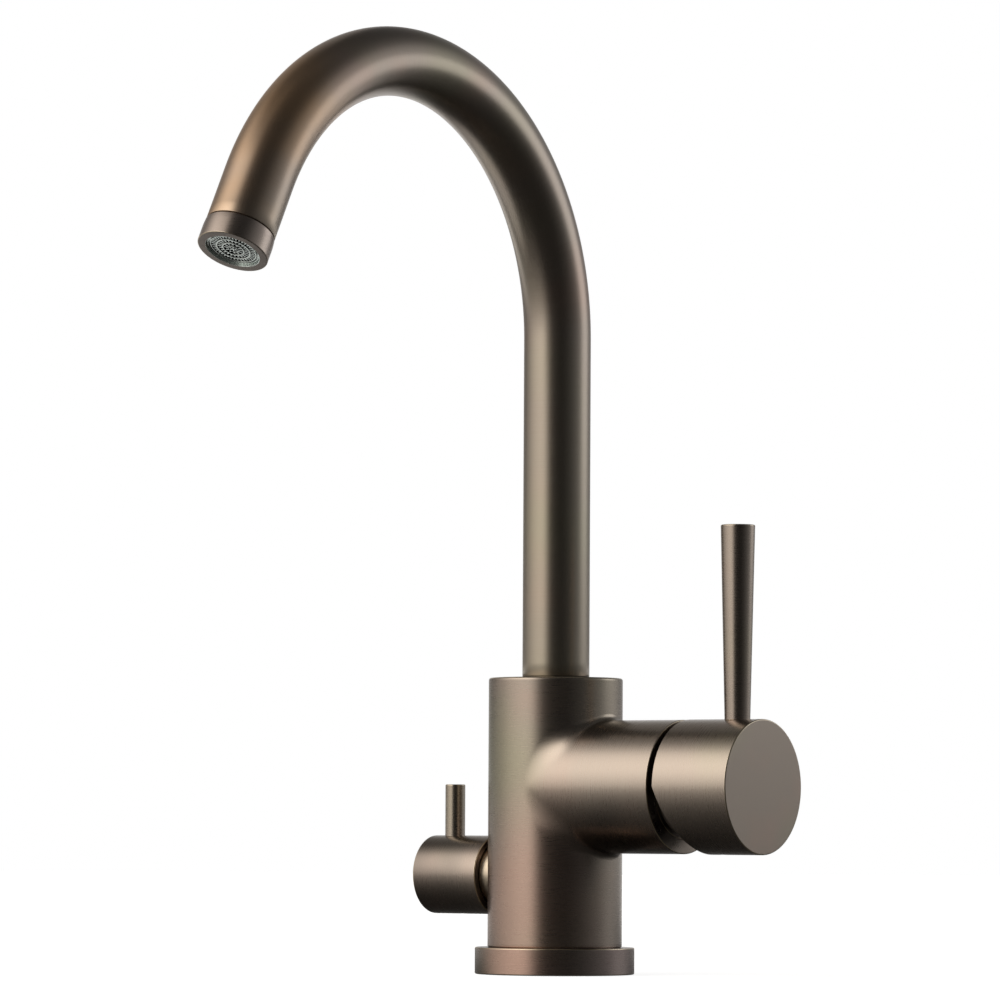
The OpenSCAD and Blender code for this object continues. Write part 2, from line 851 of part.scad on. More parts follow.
module lever_rod() {
    color(bronze)
        translate([rod_x, 0, branch_z + rod_seat]) {
            bar(rod_foot_r, -rod_foot_l, past);
            rotate_extrude() difference() {
                polygon([[0, seat_gap], [rod_low_r, seat_gap], [rod_top_d / 2, rod_l], [0, rod_l]]);
                translate([rod_top_d / 2 - rod_edge, rod_l - rod_edge]) corner_cutter(rod_edge);
            }
        }
}

module lever_set_screw() {
    tip = spindle_w / 2 + seat_gap;
    color(steel)
        translate([lever_screw_x, 0, branch_z])
            difference() {
                bar(lever_screw_d / 2 - fit_gap, -tip - lever_screw_l, -tip);
                translate([0, 0, -tip - lever_screw_l - past]) cylinder(r = 1.4, h = 2.4 + past, $fn = 6);
            }
}

// Shut-off valve

module valve_bonnet() {
    color(bronze)
        on_valve_axis() difference() {
            union() {
                bar(barrel_r, barrel_x0, spot_x);
                bar(valve_pocket_r - fit_gap, spot_x - barrel_thread_l, spot_x + past);
                bar(valve_neck_r, spot_x + seat_gap, valve_neck_x1);
                bar(guide_r, spot_x, guide_x1);
            }
            bar(barrel_bore_r, barrel_x0 - past, barrel_bore_x1);
            bar(shaft_r + running_gap, barrel_x0, guide_x1 + past);
            for (side = [-1, 1])
                translate([-2, side * valve_pocket_r - valve_pocket_r / 2, valve_foot_x0])
                    cube([4, valve_pocket_r, valve_foot_h - 0.4]);
            band(valve_neck_r - 0.6, valve_pocket_r + 0.2, spot_x, spot_x + 1.4);
        }
}

module valve_bonnet_o_ring() {
    color(rubber)
        on_valve_axis() o_ring(valve_neck_r - 0.65, 1.2, spot_x + 0.65);
}

module valve_seat_seal() {
    color(rubber)
        on_valve_axis() band(barrel_r, feed_r + 3, seat_x + seat_gap, seat_x + seat_gap + seat_seal_h);
}

module valve_disc(z0, turn) {
    difference() {
        bar(valve_disc_r, z0, z0 + valve_disc_h);
        for (side = [-1, 1])
            rotate([0, 0, turn]) translate([0, side * window_y, 0]) bar(window_r, z0 - past, z0 + valve_disc_h + past);
    }
}

module valve_fixed_disc() {
    color(ceramic) on_valve_axis() valve_disc(barrel_x0, 0);
}

module valve_moving_disc() {
    color(ceramic) on_valve_axis() valve_disc(valve_moving_x0, 90);
}

// The foot is cut away beside the moving disc's windows and the shaft's end has a flat for the knob's screw
module valve_spindle() {
    color(raw_brass)
        on_valve_axis() difference() {
            union() {
                bar(valve_disc_r, valve_foot_x0, valve_foot_x0 + valve_foot_h);
                bar(shaft_r, valve_foot_x0, shaft_x1);
            }
            for (side = [-1, 1])
                translate([side * valve_disc_r - valve_disc_r / 2 + side * 1.2, -2.2, valve_foot_x0 - past])
                    cube([valve_disc_r, 4.4, valve_foot_h + 2 * past - 1.2]);
            band(shaft_r + past, shaft_r - valve_groove_depth, valve_groove_x, valve_groove_x + valve_groove_w);
            band(shaft_r + past, shaft_r - clip_depth, guide_x1 + 0.1, guide_x1 + 0.2 + clip_h);
            translate([-shaft_r - past, -shaft_r, knob_screw_x - 3])
                cube([flat_depth + past, 2 * shaft_r, shaft_x1 - knob_screw_x + 3 + past]);
        }
}

module valve_spindle_o_ring() {
    color(rubber)
        on_valve_axis()
            o_ring(shaft_r + running_gap / 2, valve_groove_depth, valve_groove_x + valve_groove_w / 2);
}

module valve_spindle_clip() {
    color(steel)
        on_valve_axis() difference() {
            band(clip_r, shaft_r - clip_depth + fit_gap, guide_x1 + 0.15, guide_x1 + 0.15 + clip_h);
            translate([-1.5, 0, guide_x1]) cube([3, clip_r + past, 2]);
        }
}

module shutoff_knob() {
    color(bronze)
        on_valve_axis() difference() {
            translate([0, 0, knob_x0]) rotate_extrude() round_profile(knob_r, knob_l, 0.4, 0.6);
            bar(knob_recess_r, knob_x0 - past, knob_hub_x0);
            bar(shaft_r + fit_gap, knob_hub_x0 - past, shaft_x1 + 0.4);
            translate([0, 0, stick_x]) rotate([0, 90, 0]) {
                bar(stick_r + 0.05, stick_seat, knob_r + past);
                bar(stick_stub_r + fit_gap, stick_seat - stick_stub_l - 0.3, knob_r + past);
            }
            translate([0, 0, knob_screw_x]) rotate([0, -90, 0]) bar(knob_screw_d / 2, 0, knob_r + past);
        }
}

module knob_stick() {
    color(bronze)
        on_valve_axis() translate([stick_seat, 0, stick_x]) rotate([0, 90, 0]) {
            tall = stick_l + knob_r - stick_seat;
            bar(stick_stub_r, -stick_stub_l, past);
            rotate_extrude()
                polygon([[0, seat_gap], [stick_r, seat_gap], [stick_r, tall - stick_chamfer],
                    [stick_r - stick_chamfer, tall], [0, tall]]);
        }
}

module knob_set_screw() {
    tip = shaft_r - flat_depth + seat_gap;
    color(steel)
        on_valve_axis() translate([0, 0, knob_screw_x]) rotate([0, -90, 0])
            difference() {
                bar(knob_screw_d / 2 - fit_gap, tip, tip + knob_screw_l);
                translate([0, 0, tip + knob_screw_l - 2]) cylinder(r = 1.1, h = 2 + past, $fn = 6);
            }
}

base_ring();
base_gasket();
body();
spout_tube();
spout_nipple();
spout_o_rings();
spout_glide_ring();
spout_slide_washer();
spout_retaining_screw();
outlet_bush();
aerator_collar();
aerator_washer();
aerator_insert();
aerator_flow_plate();
cartridge_base();
cartridge_port_seals();
cartridge_housing();
cartridge_fixed_disc();
cartridge_moving_disc();
cartridge_disc_carrier();
cartridge_rotor();
cartridge_rotor_o_ring();
cartridge_pivot_pin();
cartridge_nut();
cartridge_dome();
lever_spindle();
lever_cap();
lever_rod();
lever_set_screw();
valve_bonnet();
valve_bonnet_o_ring();
valve_seat_seal();
valve_fixed_disc();
valve_moving_disc();
valve_spindle();
valve_spindle_o_ring();
valve_spindle_clip();
shutoff_knob();
knob_stick();
knob_set_screw();
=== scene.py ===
import math

import bmesh
import bpy
from bpy.props import FloatProperty, FloatVectorProperty, IntProperty, PointerProperty
from mathutils import Matrix, Vector


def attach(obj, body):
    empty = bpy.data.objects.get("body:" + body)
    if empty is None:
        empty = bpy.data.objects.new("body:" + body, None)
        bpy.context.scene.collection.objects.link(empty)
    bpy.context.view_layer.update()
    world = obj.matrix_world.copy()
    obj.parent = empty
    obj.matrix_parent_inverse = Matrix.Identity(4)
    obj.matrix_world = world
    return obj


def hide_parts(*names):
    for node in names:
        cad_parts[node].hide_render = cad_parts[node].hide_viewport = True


bl_info = {
    "name": "Kitchen mixer tap",
    "version": (1, 0, 0),
    "blender": (4, 5, 0),
    "location": "3D View > Sidebar > Mixer tap",
    "description": "Dresses the packed mixer tap in brushed bronze and sets up its studio",
    "category": "Object",
}

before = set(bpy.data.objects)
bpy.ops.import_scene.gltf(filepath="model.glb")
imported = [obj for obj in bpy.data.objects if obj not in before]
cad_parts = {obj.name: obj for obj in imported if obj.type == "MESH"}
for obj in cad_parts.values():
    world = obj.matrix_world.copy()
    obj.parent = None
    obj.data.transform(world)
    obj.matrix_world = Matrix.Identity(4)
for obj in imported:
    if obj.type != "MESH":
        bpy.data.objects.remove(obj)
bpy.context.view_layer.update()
MM = 0.001

# Heights and places that several pieces share, in metres
BRANCH_Z = 69.5 * MM
VALVE_Z = 36.5 * MM
ARC_START_Z = 236.7 * MM
ARC_RADIUS = 93.9 * MM
ARC_ANGLE = math.radians(152.25)
TAIL_LENGTH = 21.3 * MM
TAIL_DIRECTION = Vector((0, -math.sin(ARC_ANGLE), math.cos(ARC_ANGLE)))

# The upright body's ends and their edge breaks, in millimetres
FOOT, FOOT_EDGE = 10.0, 0.5
HEAD, HEAD_EDGE = 110.0, 1.0

# Scales of the brushing's noise, per metre: along its strokes and across them
ALONG_STROKES, ACROSS_STROKES = 110.0, 2600.0

# Light levels over the compass, in degrees from the camera's own direction, and over the height.
# The key stands at the camera's left, the side light at its right and the white backdrop behind the tap.
KEY_TURN = [(-135, 0.12), (-118, 0.43), (-103, 0.72), (-90, 1.05), (-79, 1.23), (-66, 1.40), (-56, 1.50),
            (-42, 1.45), (-33, 0.50), (-26, 0.06), (-15, 0.0)]
KEY_RISE = [(-40, 0.0), (-30, 0.10), (-22, 0.30), (-10, 0.68), (3, 1.05), (12, 1.40), (22, 1.75), (34, 1.85),
            (44, 1.80), (52, 0.90), (62, 0.08)]
SIDE_TURN = [(20, 0.0), (45, 0.07), (62, 0.17), (80, 0.30), (98, 0.56), (112, 0.64), (124, 0.46), (140, 0.25),
             (160, 0.20), (176, 0.0)]
SIDE_RISE = [(-60, 0.1), (-10, 0.55), (0, 0.82), (5, 1.02), (26, 0.95), (40, 0.25), (55, 0.08)]
BACK_TURN = [(-180, 0.92), (-170, 0.72), (-160, 0.26), (-145, 0.08), (-122, 0.0), (145, 0.0), (160, 0.26),
             (172, 0.8), (180, 0.92)]
BACK_RISE = [(-40, 0.3), (-8, 1.0), (16, 1.0), (26, 0.30), (36, 0.05), (60, 0.0)]
ROOM_RISE = [(-90, 0.02), (-5, 0.025), (30, 0.03), (60, 0.04), (90, 0.06)]


def length(name, description, millimetres):
    """A size that a user can change, kept in metres."""
    return FloatProperty(name=name, description=description, default=millimetres * MM,
                         min=0.0, precision=5, subtype="DISTANCE", unit="LENGTH")


def colour(name, description, value):
    """A linear colour that a user can change."""
    return FloatVectorProperty(name=name, description=description, default=value,
                               size=3, min=0.0, max=1.0, subtype="COLOR")


class TapSizes(bpy.types.PropertyGroup):
    """Sizes of the pieces that are shaped here."""

    body_radius: length("Body radius", "Radius of the upright body", 25)
    branch_radius: length("Branch radius", "Radius of the cartridge branch", 24.6)
    branch_reach: length("Branch reach", "Distance from the body's axis to the branch's rim", 58.9)
    blend_radius: length("Blend radius", "Radius of the blend above and below the branch", 2.4)
    flank_blend: length("Flank blend", "What the blend's radius gains at the branch's flanks", 22)
    ring_radius: length("Ring radius", "Radius of the base ring", 29.7)
    tube_radius: length("Tube radius", "Outer radius of the spout tube", 12.5)
    tube_wall: length("Tube wall", "Wall of the spout tube", 1.2)
    collar_radius: length("Collar radius", "Outer radius of the aerator collar", 12.8)
    collar_length: length("Collar length", "Length of the aerator collar", 8.9)
    cap_radius: length("Cap radius", "Radius of the lever's cap", 24.7)
    cap_slant: length("Cap slant", "How far the slanted rear edge moves forward", 9.6)
    rod_foot: length("Rod foot radius", "Radius of the rod at its foot", 4.7)
    rod_head: length("Rod head radius", "Radius of the rod at its top", 6.3)
    knob_radius: length("Knob radius", "Radius of the shut-off knob", 14.7)
    stick_radius: length("Stick radius", "Radius of the knob's stick", 3.75)
    fine_edge: length("Fine edge", "Break of the thin machined edges", 0.25)
    rim_ribs: IntProperty(name="Aerator ribs", description="Ribs in the aerator's outer ring",
                          default=38, min=8, max=48)


class TapFinishes(bpy.types.PropertyGroup):
    """Colours of the finishes, and of the painted shade and painted highlight."""

    bronze: colour("Bronze", "Brushed dark bronze", (0.36, 0.31, 0.265))
    bronze_deep: colour("Deep bronze", "Darker streaks of the brushed bronze", (0.33, 0.28, 0.24))
    copper: colour("Copper tint", "Warm patches in the bronze", (0.50, 0.335, 0.21))
    rose: colour("Rose tint", "Pinkish patches in the bronze", (0.44, 0.30, 0.245))
    plum: colour("Plum tint", "Greyish violet of the collar", (0.36, 0.29, 0.275))
    # Painted shade: the darkest bronze, painted under the branch, at the knob's outer end, on the collar's
    # end face and at the ring's left front
    painted_shade: colour("Painted shade", "Darkest bronze, painted where shade falls", (0.15, 0.128, 0.113))
    # Painted highlight: light bronze painted on the edge breaks and on the valve's neck
    painted_highlight: colour("Painted highlight", "Light bronze painted on edges and the valve neck as highlight", (0.66, 0.57, 0.42))
    olive: colour("Olive tint", "Greenish patches in the bronze", (0.34, 0.32, 0.235))
    aerator: colour("Aerator", "Pale metallised plastic of the aerator", (0.82, 0.90, 0.87))
    rubber: colour("Rubber", "Black rubber", (0.018, 0.018, 0.018))
    raw_brass: colour("Raw brass", "Machined brass inside", (0.72, 0.52, 0.24))
    steel: colour("Steel", "Stainless steel of the small screws", (0.56, 0.57, 0.58))


# Materials

class Value:
    """A socket that adds, subtracts and multiplies like a number."""

    def __init__(self, finish, socket):
        self.finish = finish
        self.socket = socket

    def _math(self, operation, first, second):
        return self.finish.add("ShaderNodeMath", {"operation": operation}, {0: first, 1: second})

    def __add__(self, other):
        return self._math("ADD", self, other)

    def __radd__(self, other):
        return self._math("ADD", other, self)

    def __sub__(self, other):
        return self._math("SUBTRACT", self, other)

    def __rsub__(self, other):
        return self._math("SUBTRACT", other, self)

    def __mul__(self, other):
        return self._math("MULTIPLY", self, other)

    def __rmul__(self, other):
        return self._math("MULTIPLY", other, self)


class Finish:
    """The node tree of a material or of the world."""

    def __init__(self, owner):
        owner.use_nodes = True
        self.owner = owner
        self.tree = owner.node_tree
        self.tree.nodes.clear()

    def add(self, kind, settings=None, sockets=None, output=0):
        """Adds one node: its settings first, then the values or links of its sockets."""
        node = self.tree.nodes.new(kind)
        for name, value in (settings or {}).items():
            if name == "stops":
                stops = node.color_ramp.elements
                stops.remove(stops[1])
                for index, (place, level) in enumerate(value):
                    stop = stops.new(place) if index else stops[0]
                    stop.position = place
                    stop.color = (level, level, level, 1)
            else:
                setattr(node, name, value)
        for key, value in (sockets or {}).items():
            if isinstance(value, Value):
                self.tree.links.new(value.socket, node.inputs[key])
            else:
                node.inputs[key].default_value = value
        return Value(self, node.outputs[output])

    def mix(self, share, first, second):
        """A colour between two colours."""
        return self.add("ShaderNodeMix", {"data_type": "RGBA"}, {0: share, 6: first, 7: second}, 2)

    def noise(self, place, scale, detail=2.0, roughness=0.5):
        """A number from 0 to 1 that varies softly over the piece."""
        return self.add("ShaderNodeTexNoise", None, {
            "Vector": place, "Scale": scale, "Detail": detail, "Roughness": roughness})

    def stretch(self, value, low, high, to_low=0.0, to_high=1.0, curve="LINEAR"):
        """Maps low..high to to_low..to_high and keeps it inside."""
        return self.add("ShaderNodeMapRange", {"clamp": True, "interpolation_type": curve}, {
            0: value, 1: low, 2: high, 3: to_low, 4: to_high})

    def surface(self, shader):
        """Ends the material with a shader."""
        kind = "World" if isinstance(self.owner, bpy.types.World) else "Material"
        node = self.tree.nodes.new(f"ShaderNodeOutput{kind}")
        self.tree.links.new(shader.socket, node.inputs["Surface"])
        return self.owner


def shade(values):
    """A property's colour as a socket wants it."""
    return (*values[:3], 1.0)


def bronze(name, along="Z", tints_and_painted_light=()):
    """Brushed dark bronze. along is the axis that the brushing runs round, or BODY or TUBE.

    The last argument lists soft patches of colour tint, painted shade and painted highlight, each with a
    colour's name, a place and a radius in millimetres, and a share."""
    colours = bpy.context.scene.tap_finishes
    finish = Finish(bpy.data.materials.new(name))
    spot = finish.add("ShaderNodeTexCoord", None, None, 3)
    low, high = ALONG_STROKES, ACROSS_STROKES
    scales = {"Z": (low, low, high), "X": (high, low, low)}
    finer = 2.7

    def strokes(vector, scale, factor=1.0):
        """Noise drawn out into fine strokes."""
        drawn_out = finish.add("ShaderNodeMapping", None, {
            "Vector": vector, "Scale": tuple(axis_scale * factor for axis_scale in scale)})
        return finish.noise(drawn_out, 1.0, 3.0, 0.62)

    def calm(streaks, axis):
        """Streaks only where the surface runs along the axis, none on its end faces."""
        normal = finish.add("ShaderNodeTexCoord", None, None, 1)
        facing = finish.add("ShaderNodeVectorMath", {"operation": "DOT_PRODUCT"}, {0: normal, 1: axis}, 1)
        return (streaks - 0.5) * (1 - facing * facing) + 0.5

    if along in scales:
        axis = (0, 0, 1) if along == "Z" else (1, 0, 0)
        streak = calm(strokes(spot, scales[along]), axis)
        hair = calm(strokes(spot, scales[along], finer), axis)
    elif along == "BODY":
        branch = finish.add("ShaderNodeAttribute", {"attribute_name": "on_branch"}, None, 2)
        upright = 1 - branch
        streak = strokes(spot, scales["Z"]) * upright + strokes(spot, scales["X"]) * branch
        hair = strokes(spot, scales["Z"], finer) * upright + strokes(spot, scales["X"], finer) * branch
    else:
        path = finish.add("ShaderNodeAttribute", {"attribute_name": "along_tube"}, None, 1)
        streak, hair = strokes(path, scales["Z"]), strokes(path, scales["Z"], finer)
    patches = finish.noise(spot, 34.0, 2.0, 0.5)
    warm = finish.noise(spot, 21.0, 1.0, 0.4)
    base = finish.mix(finish.stretch(streak, 0.34, 0.62, 0.2, 0.8),
                      shade(colours.bronze_deep), shade(colours.bronze))
    base = finish.mix(finish.stretch(patches, 0.50, 0.72, 0.0, 0.30), base, shade(colours.rose))
    base = finish.mix(finish.stretch(warm, 0.52, 0.70, 0.0, 0.50), base, shade(colours.olive))
    for tone, middle, radius, share in tints_and_painted_light:
        away = finish.add("ShaderNodeVectorMath", {"operation": "DISTANCE"}, {
            0: spot, 1: tuple(c * MM for c in middle)}, 1)
        ragged = away + (patches - 0.5) * radius * MM
        near = finish.stretch(ragged, 1.1 * radius * MM, 0.15 * radius * MM, 0.0, share, "SMOOTHSTEP")
        base = finish.mix(near, base, shade(getattr(colours, tone)))
    # Painted highlight on the marked edge breaks, broken up by the patches
    highlit = finish.add("ShaderNodeAttribute", {"attribute_name": "painted_highlight"}, None, 2)
    base = finish.mix(highlit * finish.stretch(patches, 0.30, 0.60, 0.30, 0.90), base, shade(colours.painted_highlight))
    # The long tube is polished a little less than the turned pieces
    softer = 0.05 if along == "TUBE" else 0.0
    rough = finish.stretch(streak * 0.6 + hair * 0.4, 0.3, 0.7, 0.25 + softer, 0.32 + softer)
    bump = finish.add("ShaderNodeBump", None, {
        "Strength": 0.045, "Distance": 0.00001, "Height": streak * 0.5 + hair * 0.5})
    shader = finish.add("ShaderNodeBsdfPrincipled", None, {
        "Base Color": base, "Metallic": 1.0, "Roughness": rough, "Normal": bump})
    return finish.surface(shader)


def moulded(name, tone, roughness=0.45, metallic=0.0, grain=900.0, spread=0.18, depth=0.00002):
    """Plastic, rubber, ceramic or plain machined metal with a fine grain."""
    finish = Finish(bpy.data.materials.new(name))
    spot = finish.add("ShaderNodeTexCoord", None, None, 3)
    fine = finish.noise(spot, grain, 3.0, 0.6)
    broad = finish.noise(spot, grain * 0.12, 2.0, 0.5)
    darker = tuple(c * (1 - spread) for c in tone[:3])
    base = finish.mix(finish.stretch(fine * 0.5 + broad * 0.5, 0.35, 0.65), shade(darker), shade(tone))
    rough = finish.stretch(fine, 0.3, 0.7, roughness - 0.06, roughness + 0.06)
    bump = finish.add("ShaderNodeBump", None, {"Strength": 0.3, "Distance": depth, "Height": fine})
    shader = finish.add("ShaderNodeBsdfPrincipled", None, {
        "Base Color": base, "Metallic": metallic, "Roughness": rough, "Normal": bump})
    return finish.surface(shader)


def finish_named(kind):
    """The shared material of that kind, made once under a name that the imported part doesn't use."""
    name = f"finish_{kind}"
    found = bpy.data.materials.get(name)
    if found:
        return found
    colours = bpy.context.scene.tap_finishes
    makers = {
        "bronze_round_z": lambda: bronze(name, "Z"),
        "bronze_round_x": lambda: bronze(name, "X"),
        "bronze_body": lambda: bronze(name, "BODY", [
            ("rose", (3, -25, 22), 34, 0.7), ("rose", (8, -27, 52), 26, 0.4),
            # The dark patch under the branch is painted shade
            ("painted_shade", (42, -14, 42), 26, 0.9), ("olive", (-14, -26, 80), 32, 0.8)]),
        "bronze_tube": lambda: bronze(name, "TUBE", [
            ("copper", (-14, -172, 322), 52, 1.0), ("copper", (-13, -192, 294), 36, 0.6),
            ("copper", (-14, -204, 268), 30, 0.6), ("olive", (-10, -12, 150), 90, 0.3)]),
        "bronze_ring": lambda: bronze(name, "Z", [
            ("rose", (6, -30, 4), 24, 1.0), ("plum", (30, 0, 4), 40, 0.8),
            # The dark patch at the ring's left front, under the knob, is painted shade
            ("painted_shade", (-30, -16, 4), 24, 0.6)]),
        # The knob is painted darker towards its outer end: painted shade
        "bronze_knob": lambda: bronze(name, "X", [("painted_shade", (-64, -10, 34), 50, 0.8)]),
        # The valve's neck is painted lighter towards its front: a painted highlight
        "bronze_neck": lambda: bronze(name, "X", [("painted_highlight", (-27, -8, 40), 30, 0.5)]),
        "bronze_collar": lambda: bronze(name, "Z", [("plum", (0, -200, 255), 60, 0.5)]),
        # The collar's end face, which faces down, is painted dark all over: painted shade
        "bronze_collar_end": lambda: bronze(name, "Z", [("painted_shade", (0, -200, 255), 90, 1.0)]),
        "aerator_grey": lambda: moulded(name, colours.aerator, 0.30, 0.85, 1400.0, 0.08),
        "aerator_dark": lambda: moulded(name, (0.006, 0.007, 0.007), 0.5),
        "black_rubber": lambda: moulded(name, colours.rubber, 0.62),
        "inner_brass": lambda: moulded(name, colours.raw_brass, 0.30, 1.0, 600.0),
        "inner_steel": lambda: moulded(name, colours.steel, 0.28, 1.0, 800.0),
        "white_plastic": lambda: moulded(name, (0.80, 0.80, 0.77), 0.40),
        "grey_plastic": lambda: moulded(name, (0.34, 0.37, 0.33), 0.42),
        "disc_ceramic": lambda: moulded(name, (0.86, 0.84, 0.79), 0.15, 0.0, 2000.0, 0.05),
    }
    return makers[kind]()


# Shapes

def axis_matrix(origin, direction):
    """Takes local +Z to direction, from origin."""
    return Matrix.Translation(origin) @ Vector(direction).to_track_quat("Z", "Y").to_matrix().to_4x4()


ALONG_BRANCH = axis_matrix((0, 0, BRANCH_Z), (1, 0, 0))
ALONG_VALVE = axis_matrix((0, 0, VALVE_Z), (-1, 0, 0))
SEAM = Vector((0, -ARC_RADIUS + ARC_RADIUS * math.cos(ARC_ANGLE),
               ARC_START_Z + ARC_RADIUS * math.sin(ARC_ANGLE)))
SEAM += TAIL_DIRECTION * TAIL_LENGTH
ALONG_TAIL = axis_matrix(SEAM, TAIL_DIRECTION)


def turned(corners, steps=192, closed=True):
    """A bmesh turned about Z from corners given as (radius, height, edge break) in millimetres."""
    bm = bmesh.new()
    painted_highlight = bm.verts.layers.float.new("painted_highlight")
    points = [bm.verts.new((r * MM, 0, z * MM)) for r, z, _ in corners]
    ends = points[1:] + (points[:1] if closed else [])
    for first, second in zip(points, ends):
        bm.edges.new((first, second))
    for point, (_, _, edge) in zip(points, corners):
        if edge:
            corner = point.co.copy()
            made = bmesh.ops.bevel(bm, geom=[point], offset=edge * MM, offset_type="OFFSET", segments=5,
                                   profile=0.5, affect="VERTICES", material=-1)["verts"]
            # The edge break's rounding is marked for a painted highlight
            for vert in sorted(made, key=lambda v: (v.co - corner).length)[:-2]:
                vert[painted_highlight] = 1.0
    bmesh.ops.spin(bm, geom=bm.verts[:] + bm.edges[:], cent=(0, 0, 0), axis=(0, 0, 1),
                   angle=math.tau, steps=steps, use_merge=True)
    bmesh.ops.remove_doubles(bm, verts=bm.verts, dist=1e-7)
    bmesh.ops.recalc_face_normals(bm, faces=bm.faces)
    return bm


def place(bm, matrix):
    """Moves a bmesh from where it was turned to its place on the tap."""
    bmesh.ops.transform(bm, matrix=matrix, verts=bm.verts)
    return bm


def piece(name, bm, body, replaced, slot, *materials, sharp=32, weigh=True):
    """Makes the object of a finished bmesh, ties it to its body and hides the nodes that it replaces."""
    mesh = bpy.data.meshes.new(name)
    bm.to_mesh(mesh)
    bm.free()
    return dress(bpy.data.objects.new(name, mesh), body, replaced, slot, *materials, sharp=sharp, weigh=weigh)


def dress(obj, body, replaced, slot, *materials, sharp=32, weigh=True):
    """Shades a new object, gives it its materials, ties it to its body and hides the nodes that it replaces.
    """
    if obj.name not in bpy.context.scene.collection.objects:
        bpy.context.scene.collection.objects.link(obj)
    obj.data.shade_smooth()
    obj.data.set_sharp_from_angle(angle=math.radians(sharp))
    for material in materials:
        obj.data.materials.append(finish_named(material))
    if weigh:
        weighted = obj.modifiers.new("flat faces stay flat", "WEIGHTED_NORMAL")
        weighted.keep_sharp = True
    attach(obj, body)
    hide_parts(*replaced)
    return obj


def drill(name, bm, cutters):
    """Cuts each cutter's bmesh out of bm and gives the result as a new bmesh."""
    made = []
    for index, shape in enumerate([bm, *cutters]):
        mesh = bpy.data.meshes.new(f"{name}_{index}")
        shape.to_mesh(mesh)
        shape.free()
        obj = bpy.data.objects.new(f"{name}_{index}", mesh)
        bpy.context.scene.collection.objects.link(obj)
        made.append(obj)
    for cutter in made[1:]:
        hole = made[0].modifiers.new("hole", "BOOLEAN")
        hole.operation = "DIFFERENCE"
        hole.solver = "EXACT"
        hole.object = cutter
    graph = bpy.context.evaluated_depsgraph_get()
    result = bpy.data.meshes.new_from_object(made[0].evaluated_get(graph))
    cut = bmesh.new()
    cut.from_mesh(result)
    for obj in made:
        bpy.data.meshes.remove(obj.data)
    bpy.data.meshes.remove(result)
    return cut


def rod_cutter(matrix, radius, start, end, steps=64):
    """A plain cylinder along matrix's Z, from start to end in millimetres, for cutting."""
    bm = bmesh.new()
    bmesh.ops.create_cone(bm, cap_ends=True, segments=steps, radius1=radius * MM, radius2=radius * MM,
                          depth=(end - start) * MM)
    bmesh.ops.translate(bm, verts=bm.verts, vec=(0, 0, (start + end) / 2 * MM))
    return place(bm, matrix)


def ring_on(bm, ring, targets):
    """Extrudes a closed ring of edges and moves the new ring to targets."""
    verts, edges = ring
    made = bmesh.ops.extrude_edge_only(bm, edges=edges)["geom"]
    new_edges = [g for g in made if isinstance(g, bmesh.types.BMEdge)
                 and not any(v in verts for v in g.verts)]
    links = {}
    old = set(verts)
    for edge in (g for g in made if isinstance(g, bmesh.types.BMFace)):
        for side in edge.edges:
            a, b = side.verts
            if a in old and b not in old:
                links[a] = b
            elif b in old and a not in old:
                links[b] = a
    new_verts = [links[v] for v in verts]
    for vert, target in zip(new_verts, targets):
        vert.co = target
    return new_verts, new_edges


def saddle_rings(sizes):
    """Rings of points from the branch's rim to the body's cylinder, unrolled to a full turn.

    Each point has the angle of its ray, so neighbouring rings join without twist."""
    body_r, branch_r = sizes.body_radius, sizes.branch_radius
    top, bottom = (HEAD - HEAD_EDGE) * MM - BRANCH_Z, (FOOT + FOOT_EDGE) * MM - BRANCH_Z
    half = math.pi * body_r
    wide, tall = 150, 52
    rim_edge, blend_steps = 0.7 * MM, 8
    # The wall's rings crowd towards the branch, and no face of the wall turns by more than 4 degrees
    wall_steps, crowding = 48, 1.3
    border = [(half - 2 * half * i / wide, top) for i in range(wide)]
    border += [(-half, top + (bottom - top) * i / tall) for i in range(tall)]
    border += [(-half + 2 * half * i / wide, bottom) for i in range(wide)]
    border += [(half, bottom + (top - bottom) * i / tall) for i in range(tall)]
    # The last side runs up again, so its points mirror the second side's
    angles = [math.atan2(v / (top if v > 0 else -bottom), u / half) for u, v in border]
    seats, blends = [], []
    for angle in angles:
        blend = sizes.blend_radius + sizes.flank_blend * math.cos(angle) ** 4
        blends.append(blend)
        y, z = (branch_r + blend) * math.cos(angle), (branch_r + blend) * math.sin(angle)
        x = math.sqrt((body_r + blend) ** 2 - y * y)
        seats.append(Vector((x, y, z)))
    rings = []
    for share in (0.0, 0.5, 0.8, 0.93, 1.0):
        ring = []
        for angle, seat in zip(angles, seats):
            x = sizes.branch_reach - rim_edge
            ring.append(Vector((x + (seat.x - x) * share,
                                branch_r * math.cos(angle), branch_r * math.sin(angle))))
        rings.append(ring)
    for step in range(1, blend_steps + 1):
        ring = []
        for angle, seat, blend in zip(angles, seats, blends):
            start = Vector((0, -math.cos(angle), -math.sin(angle)))
            end = Vector((-seat.x, -seat.y, 0)).normalized()
            ring.append(seat + blend * start.slerp(end, step / blend_steps))
        rings.append(ring)
    for step in range(1, wall_steps + 1):
        share = (step / wall_steps) ** crowding
        ring = []
        for (u, v), seat in zip(border, seats):
            turn = math.atan2(seat.y, seat.x)
            here = turn + (u / body_r - turn) * share
            height = seat.z + (v - seat.z) * share
            ring.append(Vector((body_r * math.cos(here), body_r * math.sin(here), height)))
        rings.append(ring)
    return rings


